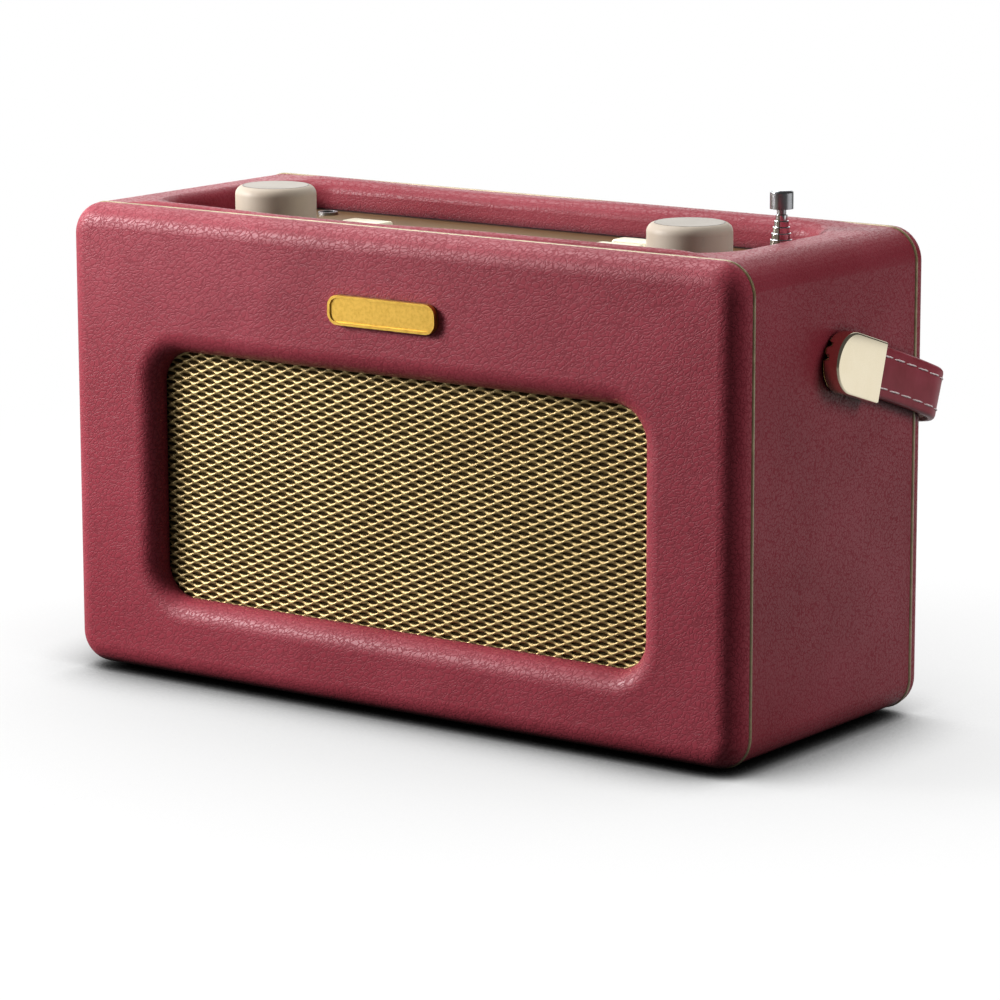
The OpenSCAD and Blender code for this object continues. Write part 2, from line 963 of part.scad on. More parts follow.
module control_board() {
  x0 = board_side - well_w / 2;
  x1 = aerial_x - board_aerial_gap;
  y0 = board_front - well_d / 2;
  y1 = well_d / 2 - board_back;
  notch_x = socket_x + socket_body / 2 + board_notch;
  notch_y = socket_dy - socket_body / 2 - board_notch;
  color(board_green)
    on_panel(0, 0, board_z - board_t)
      linear_extrude(board_t)
        polygon([
          [x0, y0],
          [x1, y0],
          [x1, y1],
          [notch_x, y1],
          [notch_x, notch_y],
          [x0, notch_y]
        ]);
}

module board_spacers() {
  edge = spacer_edge;
  color(cream) {
    for (dy = [board_front + edge - well_d / 2, well_d / 2 - board_back - edge])
      both_sides()
        on_panel(knob_x - spacer_knob_gap, dy, board_z)
          cylinder(r = spacer_r, h = spacer_l);
    for (sx = [-1, 1], sz = [-1, 1])
      translate([main_board_x + sx * (main_board_w / 2 - edge), back_seam - spacer_l,
        main_board_z + sz * (main_board_h / 2 - edge)])
        rotate([-90, 0, 0])
          cylinder(r = spacer_r, h = spacer_l);
  }
}

module button_switches() {
  color(black_plastic)
    for (p = buttons_at)
      on_panel(p[0], p[1], board_z) {
        translate([-switch_w / 2, -switch_w / 2, 0])
          cube([switch_w, switch_w, switch_h - dome_h]);
        cylinder(r = dome_r, h = switch_h);
      }
}

module encoder_bodies() {
  bush_top = fascia_top + bush_proud;
  color(steel)
    for (sx = [-1, 1])
      on_panel(sx * knob_x, knob_dy, board_z)
        difference() {
          union() {
            translate([-encoder_w / 2, -encoder_w / 2, 0])
              cube([encoder_w, encoder_w, encoder_h]);
            cylinder(r = bush_r, h = bush_top - board_z);
          }
          translate([0, 0, bore_floor])
            cylinder(r = shaft_r + fit, h = bush_top - board_z);
        }
}

module encoder_nuts() {
  color(chrome)
    for (sx = [-1, 1])
      on_panel(sx * knob_x, knob_dy, fascia_top)
        linear_extrude(nut_t)
          difference() {
            circle(d = nut_af / cos(30), $fn = 6);
            circle(r = bush_r + fit);
          }
}

module headphone_socket() {
  mouth = fascia_t + socket_collar;
  color(black_plastic)
    on_panel(socket_x, socket_dy, fascia_low)
      difference() {
        union() {
          translate([-socket_body / 2, -socket_body / 2, -socket_body_h])
            cube([socket_body, socket_body, socket_body_h]);
          translate([0, 0, -lap])
            cylinder(r = collar_r, h = mouth + lap);
        }
        translate([0, 0, mouth - socket_bore_l])
          cylinder(r = socket_r, h = socket_bore_l + 1);
      }
}

module socket_nut() {
  color(chrome)
    on_panel(socket_x, socket_dy, fascia_top)
      linear_extrude(socket_nut_t)
        difference() {
          circle(socket_nut_r);
          circle(collar_r + fit);
        }
}

module knob_body(x) {
  color(knob_grey)
    on_panel(x, knob_dy, fascia_top + knob_lift)
      rotate_extrude()
        difference() {
          union() {
            square([knob_d / 2, knob_h - knob_edge_r]);
            square([knob_d / 2 - knob_edge_r, knob_h]);
            translate([knob_d / 2 - knob_edge_r, knob_h - knob_edge_r])
              quarter_disc(knob_edge_r);
          }
          translate([0, knob_h - inlay_t])
            square([inlay_r + fit, inlay_t + 1]);
          translate([hub_r, -1])
            square([knob_d / 2 - knob_wall - hub_r, knob_h - knob_roof + 1]);
          translate([0, -1])
            square([hub_r + 1, hub_lift + 1]);
          translate([0, -1])
            square([shaft_r + shaft_fit, knob_h - shaft_sink + fit + 1]);
        }
}

module knob_inlay(x) {
  color(cream)
    on_panel(x, knob_dy, fascia_top + knob_lift + knob_h - inlay_t)
      cylinder(r = inlay_r, h = inlay_t);
}

module knob_shaft(x, lift) {
  top = fascia_top + knob_lift + knob_h - shaft_sink;
  color(steel)
    on_panel(x, knob_dy, board_z + lift)
      cylinder(r = shaft_r, h = top - board_z - lift);
}

module volume_knob() {
  knob_body(-knob_x);
}

module volume_inlay() {
  knob_inlay(-knob_x);
}

module volume_shaft() {
  knob_shaft(-knob_x, bore_floor + 4 * fit);
}

module tuning_knob() {
  knob_body(knob_x);
}

module tuning_inlay() {
  knob_inlay(knob_x);
}

module tuning_shaft() {
  knob_shaft(knob_x, plunger_lift + plunger_t);
}

module tuning_plunger() {
  color(cream)
    on_panel(knob_x, knob_dy, board_z + plunger_lift)
      cylinder(r = shaft_r - fit, h = plunger_t);
}

module push_button(place) {
  crown = button_crown;
  rim = button_flange_rim;
  low = fascia_low - button_flange;
  color(cream)
    on_panel(place[0], place[1], 0) {
      translate([0, 0, low])
        linear_extrude(fascia_top + button_h - crown - low)
          rounded_rect(button_w, button_d, button_r);
      translate([0, 0, low])
        linear_extrude(fascia_top + button_h - low)
          rounded_rect(button_w - 2 * crown, button_d - 2 * crown, button_r - crown);
      translate([0, 0, low])
        linear_extrude(button_flange)
          rounded_rect(button_w + 2 * rim, button_d + 2 * rim, button_r + rim);
      translate([0, 0, board_z + switch_h + press_gap])
        cylinder(r = button_stem_r, h = spacer_l - switch_h - press_gap);
    }
}

module power_button() {
  push_button(buttons_at[0]);
}

module mode_button() {
  push_button(buttons_at[1]);
}

module menu_button() {
  push_button(buttons_at[2]);
}

module preset_button() {
  push_button(buttons_at[3]);
}

module back_button() {
  push_button(buttons_at[4]);
}

// Aerial
module aerial_section(index) {
  outer_r = (sleeve_d - index * tube_shrink) / 2;
  length = sleeve_top + index * aerial_step - aerial_foot;
  color(chrome)
    on_panel(aerial_x, aerial_dy, aerial_foot)
      rotate_extrude()
        translate([outer_r - tube_wall, 0]) {
          square([tube_wall, length - tube_round]);
          square([tube_wall - tube_round, length]);
          translate([tube_wall - tube_round, length - tube_round])
            quarter_disc(tube_round);
        }
}

module aerial_sleeve() {
  aerial_section(0);
}

module aerial_tube_1() {
  aerial_section(1);
}

module aerial_tube_2() {
  aerial_section(2);
}

module aerial_tube_3() {
  aerial_section(3);
}

module aerial_tube_4() {
  aerial_section(4);
}

module aerial_tube_5() {
  aerial_section(5);
}

module aerial_rod() {
  rod_top = sleeve_top + tubes * aerial_step + tip_neck;
  edge = tip_edge;
  color(chrome) {
    on_panel(aerial_x, aerial_dy, aerial_foot)
      cylinder(d = rod_d, h = rod_top - aerial_foot + lap);
    on_panel(aerial_x, aerial_dy, rod_top)
      rotate_extrude() {
        square([tip_d / 2, tip_h - edge]);
        square([tip_d / 2 - edge, tip_h]);
        translate([tip_d / 2 - edge, tip_h - edge])
          quarter_disc(edge);
      }
  }
}

module aerial_clamp() {
  color(black_plastic)
    difference() {
      translate([aerial_x - clamp_w / 2, cab_y + aerial_dy - clamp_w / 2, aerial_foot - clamp_floor])
        cube([room_w / 2 - aerial_x + clamp_w / 2, clamp_w, clamp_h]);
      on_panel(aerial_x, aerial_dy, aerial_foot)
        cylinder(d = sleeve_d + 2 * fit, h = clamp_h);
    }
}

// Handle
module strap_outline(half, length) {
  circle(half);
  translate([0, -half])
    square([length, 2 * half]);
}

module handle_strap() {
  straight = strap_reach - strap_bend_r;
  color(leather)
    at_pivot(strap_droop) {
      both_sides() {
        difference() {
          along_x(arm_in, arm_out)
            strap_outline(strap_w / 2, straight);
          along_x(arm_in - 1, arm_out + 1)
            circle(pivot_r + fit);
        }
        translate([arm_out - strap_bend_r, straight, 0])
          rotate_extrude(angle = 90)
            translate([strap_bend_r - strap_t, -strap_w / 2])
              square([strap_t, strap_w]);
      }
      translate([-(arm_out - strap_bend_r), strap_reach - strap_t, -strap_w / 2])
        cube([2 * (arm_out - strap_bend_r), strap_t, strap_w]);
    }
}

module handle_caps() {
  rim_x = cab_w / 2 + cap_rim_gap;
  roof_x = arm_out + cap_room;
  boss_from = pivot_head_r + boss_gap;
  color(gold)
    at_pivot(strap_droop)
      both_sides() {
        difference() {
          along_x(rim_x, roof_x + cap_skin)
            strap_outline(cap_w / 2, cap_l);
          along_x(rim_x - 1, roof_x)
            strap_outline(cap_w / 2 - cap_wall, cap_l + 1);
          for (v = [0, notch_pitch])
            translate([rim_x - 1, -cap_w / 2 - 1, v - notch_w / 2])
              cube([notch_l + 1, cap_w / 2, notch_w]);
        }
        translate([arm_out, boss_from, -cap_w / 2 + cap_wall])
          cube([cap_room + cap_skin / 2, cap_l - boss_from, cap_w - 2 * cap_wall]);
      }
}

module handle_pivots() {
  inner_x = room_w / 2 - pivot_nut_t - pivot_end;
  color(steel)
    at_pivot(0)
      both_sides() {
        along_x(inner_x, arm_out + fit + pivot_head_t)
          circle(pivot_r);
        along_x(arm_out + fit, arm_out + fit + pivot_head_t)
          circle(pivot_head_r);
      }
}

module pivot_nuts() {
  color(steel)
    at_pivot(0)
      both_sides()
        along_x(room_w / 2 - pivot_nut_t, room_w / 2)
          difference() {
            circle(d = pivot_nut_af / cos(30), $fn = 6);
            circle(pivot_r + fit);
          }
}

cabinet_shell();
cabinet_wrap();
corner_blocks();
front_frame();
front_cover();
front_piping();
badge();
grille();
speaker_baffle();
speaker_frames();
speaker_cones();
speaker_magnets();
speaker_screws();
back_panel();
back_cover();
back_piping();
back_screws();
feet();
fascia_plate();
fascia_screws();
display_lens();
display_module();
control_board();
board_spacers();
button_switches();
encoder_bodies();
encoder_nuts();
headphone_socket();
socket_nut();
main_board();
dc_inlet();
battery_tray();
battery_cells();
battery_door();
door_pin();
aerial_clamp();
aerial_sleeve();
aerial_tube_1();
aerial_tube_2();
aerial_tube_3();
aerial_tube_4();
aerial_tube_5();
aerial_rod();
volume_knob();
volume_inlay();
volume_shaft();
tuning_knob();
tuning_inlay();
tuning_shaft();
tuning_plunger();
power_button();
mode_button();
menu_button();
preset_button();
back_button();
handle_strap();
handle_caps();
handle_pivots();
pivot_nuts();
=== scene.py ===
import bpy
import bmesh
import math
from mathutils import Matrix, Vector


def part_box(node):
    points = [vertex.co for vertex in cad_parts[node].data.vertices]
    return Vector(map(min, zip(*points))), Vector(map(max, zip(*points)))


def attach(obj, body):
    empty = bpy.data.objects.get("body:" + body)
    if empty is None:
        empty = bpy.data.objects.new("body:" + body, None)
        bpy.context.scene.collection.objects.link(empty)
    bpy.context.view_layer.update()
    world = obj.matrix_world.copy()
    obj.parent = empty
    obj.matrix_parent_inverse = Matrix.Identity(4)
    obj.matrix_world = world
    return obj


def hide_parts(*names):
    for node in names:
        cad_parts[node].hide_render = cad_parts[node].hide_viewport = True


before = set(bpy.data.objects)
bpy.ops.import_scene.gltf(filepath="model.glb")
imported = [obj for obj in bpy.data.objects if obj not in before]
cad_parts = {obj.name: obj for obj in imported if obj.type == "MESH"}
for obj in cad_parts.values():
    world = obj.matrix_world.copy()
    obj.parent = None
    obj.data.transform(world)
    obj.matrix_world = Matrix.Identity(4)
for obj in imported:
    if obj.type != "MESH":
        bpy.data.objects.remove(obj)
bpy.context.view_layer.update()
bpy.ops.object.select_all(action="DESELECT")
mm = 0.001

# Places taken from the solids, in metres
wrap_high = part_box("cabinet_wrap")[1]
front_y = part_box("front_cover")[0][1]
grille_low, grille_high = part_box("grille")
pivot_low, pivot_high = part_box("handle_pivots")
side_x = wrap_high[0]
half_depth = 51 * mm
cabinet_y = front_y + half_depth
pivot = Vector((0, (pivot_low[1] + pivot_high[1]) / 2, (pivot_low[2] + pivot_high[2]) / 2))


# Colours and nodes
def srgb(code):
    parts = [int(code[i:i + 2], 16) / 255 for i in (1, 3, 5)]
    linear = [p / 12.92 if p <= 0.04045 else ((p + 0.055) / 1.055) ** 2.4 for p in parts]
    return (*linear, 1)


def put(tree, kind, settings=None, values=None, links=None, stops=(), feeds=None):
    """Adds one node: its settings, socket values, the sockets that feed it, a ramp's stops as
    (place, colour), and the socket that its first output feeds."""
    made = tree.nodes.new(kind)
    for key, value in (settings or {}).items():
        setattr(made, key, value)
    for key, value in (values or {}).items():
        made.inputs[key].default_value = value
    for key, source in (links or {}).items():
        tree.links.new(source, made.inputs[key])
    if stops:
        elements = made.color_ramp.elements
        while len(elements) < len(stops):
            elements.new(0.5)
        for element, (at, colour) in zip(elements, stops):
            element.position = at
            element.color = srgb(colour)
    if feeds:
        tree.links.new(made.outputs[0], feeds)
    return made


soft_ends = {"interpolation_type": "SMOOTHSTEP"}
darkening = {"blend_type": "MULTIPLY"}
times = {"operation": "MULTIPLY"}
larger = {"operation": "MAXIMUM"}


def start_material(name, colour, roughness, **shader):
    """A Principled material with its constants on the shader's own sockets."""
    made = bpy.data.materials.new(name)
    made.use_nodes = True
    made.diffuse_color = srgb(colour)
    tree = made.node_tree
    skin = tree.nodes["Principled BSDF"]
    skin.inputs["Base Color"].default_value = srgb(colour)
    skin.inputs["Roughness"].default_value = roughness
    for key, value in shader.items():
        skin.inputs[key.replace("_", " ")].default_value = value
    place = put(tree, "ShaderNodeTexCoord").outputs["Object"]
    return made, tree, skin, place


def painted_recess_shade(tree, colour, reach):
    """The colour made darker within reach of an inner corner, as painted shade."""
    nook = put(tree, "ShaderNodeAmbientOcclusion", {"samples": 6}, {"Distance": reach})
    recess_shade = put(tree, "ShaderNodeMapRange", soft_ends, {"From Min": 0.4, "From Max": 0.74, "To Min": 0.12},
               {"Value": nook.outputs["AO"]})
    made = put(tree, "ShaderNodeMixRGB", darkening, {"Fac": 1.0},
               {"Color1": colour, "Color2": recess_shade.outputs["Result"]})
    return made.outputs["Color"]


# Embossed hide on the cabinet: flat plates a little over 1 mm across, drawn out along one slant and parted
# by thin creases, over slow swells about 4 mm across; the creases are less shiny and carry painted shade
def grained_leather(name, dark, mid, pale, roughness, sheen, plate, depth, crease_shade):
    lean, drawn_out = (0.3, math.radians(-32), 0.2), (1.7, 1.1, 0.95)
    wander, crease_width, swelling = 2.2 * plate, 0.16, 1.6
    made, tree, skin, place = start_material(name, mid, roughness, Specular_IOR_Level=sheen)
    slant = put(tree, "ShaderNodeMapping", {"vector_type": "TEXTURE"},
                {"Rotation": lean, "Scale": drawn_out}, {"Vector": place})
    drift = put(tree, "ShaderNodeTexNoise", values={"Scale": 0.5 / plate, "Detail": 4.0},
                links={"Vector": slant.outputs["Vector"]})
    centred = put(tree, "ShaderNodeVectorMath", {"operation": "SUBTRACT"}, {1: (0.5, 0.5, 0.5)},
                  {0: drift.outputs["Color"]})
    shift = put(tree, "ShaderNodeVectorMath", {"operation": "SCALE"}, {"Scale": wander},
                {0: centred.outputs["Vector"]})
    warp = put(tree, "ShaderNodeVectorMath", {"operation": "ADD"},
               links={0: slant.outputs["Vector"], 1: shift.outputs["Vector"]})
    edge = put(tree, "ShaderNodeTexVoronoi", {"feature": "DISTANCE_TO_EDGE"}, {"Scale": 1 / plate},
               {"Vector": warp.outputs["Vector"]})
    crease = put(tree, "ShaderNodeMapRange", soft_ends, {"From Max": crease_width},
                 {"Value": edge.outputs["Distance"]}).outputs["Result"]
    swell = put(tree, "ShaderNodeTexNoise", values={"Scale": 0.3 / plate, "Detail": 2.0},
                links={"Vector": warp.outputs["Vector"]})
    blotch = put(tree, "ShaderNodeTexNoise", values={"Scale": 1 / (38.46 * mm), "Detail": 4.0},
                 links={"Vector": place})
    tone = put(tree, "ShaderNodeValToRGB", links={"Fac": blotch.outputs["Fac"]},
               stops=[(0.3, dark), (0.5, mid), (0.72, pale)])
    # Painted shade in the creases; the next step adds painted shade in inner corners within 6 mm
    crease_shaded = put(tree, "ShaderNodeMixRGB", darkening, {"Fac": crease_shade},
                  {"Color1": tone.outputs["Color"], "Color2": crease})
    tree.links.new(painted_recess_shade(tree, crease_shaded.outputs["Color"], 6 * mm), skin.inputs["Base Color"])
    put(tree, "ShaderNodeMapRange", values={"To Min": roughness + 0.2, "To Max": roughness},
        links={"Value": crease}, feeds=skin.inputs["Roughness"])
    put(tree, "ShaderNodeMapRange", values={"To Min": 0.65 * sheen, "To Max": sheen},
        links={"Value": crease}, feeds=skin.inputs["Specular IOR Level"])
    height = put(tree, "ShaderNodeMath", {"operation": "MULTIPLY_ADD"}, {1: swelling},
                 {0: swell.outputs["Fac"], 2: crease})
    put(tree, "ShaderNodeBump", values={"Strength": 0.8, "Distance": depth},
        links={"Height": height.outputs["Value"]}, feeds=skin.inputs["Normal"])
    return made


# One hide: the front's tones are a little paler than the sides', a painted difference of light
front_hide = grained_leather("grained_leather_front", "#892C39", "#91323F", "#9A3846",
                             roughness=0.42, sheen=0.29, plate=1.3 * mm, depth=0.055 * mm, crease_shade=0.24)
side_hide = grained_leather("grained_leather_sides", "#812A35", "#882F3A", "#903541",
                            roughness=0.36, sheen=0.2, plate=1.2 * mm, depth=0.04 * mm, crease_shade=0.08)


# Strap hide: fine, nearly smooth leather, clouded every 6 mm or so, with pores about 0.45 mm apart
def strap_leather():
    made, tree, skin, place = start_material("strap_leather", "#80293A", 0.42, Specular_IOR_Level=0.14)
    cloud = put(tree, "ShaderNodeTexNoise", values={"Scale": 1 / (6.25 * mm), "Detail": 5.0},
                links={"Vector": place})
    put(tree, "ShaderNodeValToRGB", links={"Fac": cloud.outputs["Fac"]},
        stops=[(0.32, "#832A34"), (0.55, "#8D313D"), (0.75, "#973A47")], feeds=skin.inputs["Base Color"])
    pores = put(tree, "ShaderNodeTexVoronoi", values={"Scale": 1 / (0.45 * mm)}, links={"Vector": place})
    put(tree, "ShaderNodeBump", values={"Strength": 0.22, "Distance": 0.06 * mm},
        links={"Height": pores.outputs["Distance"]}, feeds=skin.inputs["Normal"])
    return made


hide_strap = strap_leather()


# Fibrous and drawn stuffs: flecks of a given size that show in the colour and in the relief
def flecked(name, mid, stops, roughness, fleck, detail, strength, depth, **shader):
    made, tree, skin, place = start_material(name, mid, roughness, **shader)
    fibre = put(tree, "ShaderNodeTexNoise", values={"Scale": 1 / fleck, "Detail": detail},
                links={"Vector": place})
    put(tree, "ShaderNodeValToRGB", links={"Fac": fibre.outputs["Fac"]}, stops=stops,
        feeds=skin.inputs["Base Color"])
    put(tree, "ShaderNodeBump", values={"Strength": strength, "Distance": depth},
        links={"Height": fibre.outputs["Fac"]}, feeds=skin.inputs["Normal"])
    return made


# Strap lining: brushed split leather, grey tan and matt, with short fibres
lining = flecked("split_leather_lining", "#8E7C70",
                 [(0.3, "#7A685D"), (0.52, "#94827A"), (0.72, "#A99A90")],
                 roughness=0.85, fleck=1.111 * mm, detail=6.0, strength=0.4, depth=0.12 * mm,
                 Specular_IOR_Level=0.2)
# Piping: extruded gold vinyl cord, glossy, with a faint mottle along it
piping = flecked("gold_vinyl_piping", "#8E7B57",
                 [(0.3, "#806D4B"), (0.55, "#917E59"), (0.75, "#A28F6A")],
                 roughness=0.26, fleck=3.846 * mm, detail=3.0, strength=0.12, depth=0.05 * mm,
                 Metallic=0.15, Specular_IOR_Level=0.7)
# Cone paper: pressed pulp, nearly black and matt
cone_paper = flecked("pressed_paper_cone", "#1A1816",
                     [(0.3, "#12100F"), (0.55, "#1C1A18"), (0.8, "#2A2725")],
                     roughness=0.8, fleck=1.4286 * mm, detail=6.0, strength=0.4, depth=0.1 * mm,
                     Specular_IOR_Level=0.2)


# Cotton thread: pale pink white with a soft bloom; the plies' twist is drawn about 1.5 mm long to show
def sewing_thread():
    made, tree, skin, place = start_material("cotton_thread", "#FAECEA", 0.7,
                                             Specular_IOR_Level=0.3, Sheen_Weight=0.6)
    ply = put(tree, "ShaderNodeTexWave", {"bands_direction": "DIAGONAL"},
              {"Scale": 1 / (2.4 * mm), "Distortion": 1.5}, {"Vector": place})
    put(tree, "ShaderNodeValToRGB", links={"Fac": ply.outputs["Fac"]},
        stops=[(0.0, "#E8CFD0"), (0.6, "#F6DFE0"), (1.0, "#FDEDED")], feeds=skin.inputs["Base Color"])
    put(tree, "ShaderNodeBump", values={"Strength": 0.5, "Distance": 0.08 * mm},
        links={"Height": ply.outputs["Fac"]}, feeds=skin.inputs["Normal"])
    return made


thread = sewing_thread()


# Plated and anodised metals: a polishing haze of a given size, with a little wear in the roughness
def metal(name, colour, haze, size, roughness, wear, **shader):
    made, tree, skin, place = start_material(name, colour, roughness, Metallic=1.0, **shader)
    cloud = put(tree, "ShaderNodeTexNoise", values={"Scale": 1 / size, "Detail": 5.0, "Roughness": 0.6},
                links={"Vector": place})
    put(tree, "ShaderNodeValToRGB", links={"Fac": cloud.outputs["Fac"]},
        stops=[(0.25, haze), (0.6, colour)], feeds=skin.inputs["Base Color"])
    put(tree, "ShaderNodeMapRange", values={"To Min": roughness, "To Max": roughness + wear},
        links={"Value": cloud.outputs["Fac"]}, feeds=skin.inputs["Roughness"])
    return made


# Pale gold plating of the strap's end caps: nearly a mirror
cap_brass = metal("pale_gold_plating", "#EBDFC4", "#E6D9BB", 16.67 * mm, roughness=0.1, wear=0.04)
# Gold-plated zinc casting of the badge: satin and warm
badge_gold = metal("gold_plated_zinc", "#E3B857", "#CFA145", 1.111 * mm, roughness=0.36, wear=0.08)
# Anodised aluminium mesh: dull old gold under a thin clear layer
grille_gold = metal("gold_anodised_aluminium", "#A18B5D", "#917B4F", 25 * mm, roughness=0.52, wear=0.08,
                    Coat_Weight=0.4, Coat_Roughness=0.35)
# Chromium plate of the aerial's tubes: a cool mirror
chrome = metal("chromium_plate", "#CFD1D3", "#C1C3C6", 3.333 * mm, roughness=0.07, wear=0.04)
# Nickel-plated brass of the aerial's rod: greyer and softer than the chrome
nickel = metal("nickel_plated_brass", "#AEB0B3", "#A2A4A7", 3.333 * mm, roughness=0.22, wear=0.05)
# Zinc-plated steel of screws, nuts and frames: pale grey with dull patches
steel = metal("zinc_plated_steel", "#B9BBBD", "#9FA2A5", 3.846 * mm, roughness=0.3, wear=0.15)


def painted_gap_shadow(tree, colour, place):
    """The colour with a painted shadow line where the panel passes under the leather round the well."""
    well_half_x, well_half_y, well_turn = 105 * mm, 36 * mm, 18 * mm
    shadow_start, shadow_end = well_turn - 4.5 * mm, well_turn - 1.5 * mm
    middle = (0, cabinet_y, 0)
    from_middle = put(tree, "ShaderNodeVectorMath", {"operation": "SUBTRACT"}, {1: middle}, {0: place})
    quarter = put(tree, "ShaderNodeVectorMath", {"operation": "ABSOLUTE"},
                  links={0: from_middle.outputs["Vector"]})
    corner = put(tree, "ShaderNodeVectorMath", {"operation": "SUBTRACT"},
                 {1: (well_half_x - well_turn, well_half_y - well_turn, 1)}, {0: quarter.outputs["Vector"]})
    beyond = put(tree, "ShaderNodeVectorMath", larger, {1: (0, 0, 0)}, {0: corner.outputs["Vector"]})
    out = put(tree, "ShaderNodeVectorMath", {"operation": "LENGTH"}, links={0: beyond.outputs["Vector"]})
    # Painted shadow, darkening from 4.5 mm to 1.5 mm inside the well's edge
    line = put(tree, "ShaderNodeMapRange", soft_ends,
               {"From Min": shadow_start, "From Max": shadow_end, "To Min": 1.0, "To Max": 0.03},
               {"Value": out.outputs["Value"]})
    made = put(tree, "ShaderNodeMixRGB", darkening, {"Fac": 1.0},
               {"Color1": colour, "Color2": line.outputs["Result"]})
    return made.outputs["Color"]


# Brushed bronze panel: hairlines along the width, drawn 0.4 mm wide and 40 mm long to show
def brushed_panel():
    made, tree, skin, place = start_material("brushed_bronze_panel", "#6D522B", 0.5, Metallic=0.7)
    stretch = put(tree, "ShaderNodeMapping", values={"Scale": (1 / (40 * mm), 1 / (0.4 * mm), 1.0)},
                  links={"Vector": place})
    hair = put(tree, "ShaderNodeTexNoise", values={"Scale": 1.0, "Detail": 4.0},
               links={"Vector": stretch.outputs["Vector"]})
    tone = put(tree, "ShaderNodeValToRGB", links={"Fac": hair.outputs["Fac"]},
               stops=[(0.25, "#564020"), (0.5, "#6B512B"), (0.78, "#816539")])
    # Painted shade in inner corners within 14 mm, then a painted shadow line round the well
    recess_shade = painted_recess_shade(tree, tone.outputs["Color"], 14 * mm)
    tree.links.new(painted_gap_shadow(tree, recess_shade, place), skin.inputs["Base Color"])
    put(tree, "ShaderNodeMapRange", values={"To Min": 0.45, "To Max": 0.6},
        links={"Value": hair.outputs["Fac"]}, feeds=skin.inputs["Roughness"])
    put(tree, "ShaderNodeBump", values={"Strength": 0.15, "Distance": 0.03 * mm},
        links={"Height": hair.outputs["Fac"]}, feeds=skin.inputs["Normal"])
    return made


panel_bronze = brushed_panel()


# Moulded plastics: mould texture of a given size, drawn coarse enough to show, with a slow drift of tone
def moulded(name, dark, mid, pale, roughness, texture, depth, **shader):
    made, tree, skin, place = start_material(name, mid, roughness, **shader)
    drift = put(tree, "ShaderNodeTexNoise", values={"Scale": 1 / (16.67 * mm), "Detail": 3.0},
                links={"Vector": place})
    put(tree, "ShaderNodeValToRGB", links={"Fac": drift.outputs["Fac"]},
        stops=[(0.3, dark), (0.5, mid), (0.7, pale)], feeds=skin.inputs["Base Color"])
    grit = put(tree, "ShaderNodeTexNoise", values={"Scale": 1 / texture, "Detail": 2.0},
               links={"Vector": place})
    put(tree, "ShaderNodeMapRange", values={"To Min": roughness - 0.05, "To Max": roughness + 0.07},
        links={"Value": grit.outputs["Fac"]}, feeds=skin.inputs["Roughness"])
    put(tree, "ShaderNodeBump", values={"Strength": 0.15, "Distance": depth},
        links={"Height": grit.outputs["Fac"]}, feeds=skin.inputs["Normal"])
    return made


# ABS of the knobs: warm grey, silky
knob_taupe = moulded("taupe_abs", "#A99B8B", "#B0A393", "#B7AB9C", 0.52, 0.6 * mm, 0.03 * mm,
                     Specular_IOR_Level=0.35)
# Inlay of the knobs: darker and a little shinier than the knob
knob_inlay = moulded("satin_taupe_inlay", "#857C70", "#8D8478", "#958C81", 0.4, 0.8 * mm, 0.02 * mm)


def inlay_gap_shadow(made):
    """A thin painted shadow line round the inlay, where it drops into the knob."""
    low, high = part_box("tuning_inlay")
    middle = (abs(low[0] + high[0]) / 2, (low[1] + high[1]) / 2, 0)
    radius = (high[0] - low[0]) / 2
    shadow_start, shadow_end = radius - 0.5 * mm, radius - 0.1 * mm
    tree = made.node_tree
    skin = tree.nodes["Principled BSDF"]
    tone = skin.inputs["Base Color"].links[0].from_socket
    place = put(tree, "ShaderNodeTexCoord").outputs["Object"]
    both = put(tree, "ShaderNodeVectorMath", {"operation": "ABSOLUTE"}, links={0: place})
    split = put(tree, "ShaderNodeSeparateXYZ", links={"Vector": both.outputs["Vector"]})
    plain = put(tree, "ShaderNodeSeparateXYZ", links={"Vector": place})
    flat = put(tree, "ShaderNodeCombineXYZ", links={"X": split.outputs["X"], "Y": plain.outputs["Y"]})
    away = put(tree, "ShaderNodeVectorMath", {"operation": "DISTANCE"}, {1: middle},
               {0: flat.outputs["Vector"]})
    # Painted shadow, darkening over the inlay's outer 0.5 mm
    line = put(tree, "ShaderNodeMapRange", soft_ends,
               {"From Min": shadow_start, "From Max": shadow_end, "To Min": 1.0, "To Max": 0.3},
               {"Value": away.outputs["Value"]})
    put(tree, "ShaderNodeMixRGB", darkening, {"Fac": 1.0},
        {"Color1": tone, "Color2": line.outputs["Result"]}, feeds=skin.inputs["Base Color"])


inlay_gap_shadow(knob_inlay)
# ABS of the push buttons: cream, a little light passes into it
cream_abs = moulded("cream_abs", "#E2D6B4", "#E7DCBD", "#ECE3C8", 0.34, 0.6 * mm, 0.02 * mm,
                    Subsurface_Weight=0.08)
# ABS of sockets, switches and tray: black, half matt
black_abs = moulded("black_abs", "#161616", "#1B1B1C", "#222223", 0.45, 0.4 * mm, 0.05 * mm)
# ABS of the battery door: dark brown, half matt
door_abs = moulded("dark_brown_abs", "#241A1A", "#2A1E1E", "#302424", 0.5, 0.5 * mm, 0.06 * mm)
# Rubber of the feet: black and dull
foot_rubber = moulded("black_rubber", "#141414", "#191919", "#202020", 0.75, 0.5 * mm, 0.08 * mm,
                      Specular_IOR_Level=0.3)
# Nylon of the spacers: milky white
nylon = moulded("natural_nylon", "#D9D4C6", "#E0DBCE", "#E7E3D8", 0.45, 0.5 * mm, 0.03 * mm)
# Solder mask of the boards: glossy dark green
board_green = moulded("solder_mask_green", "#0F3B25", "#14472D", "#1A5336", 0.35, 1.2 * mm, 0.05 * mm)
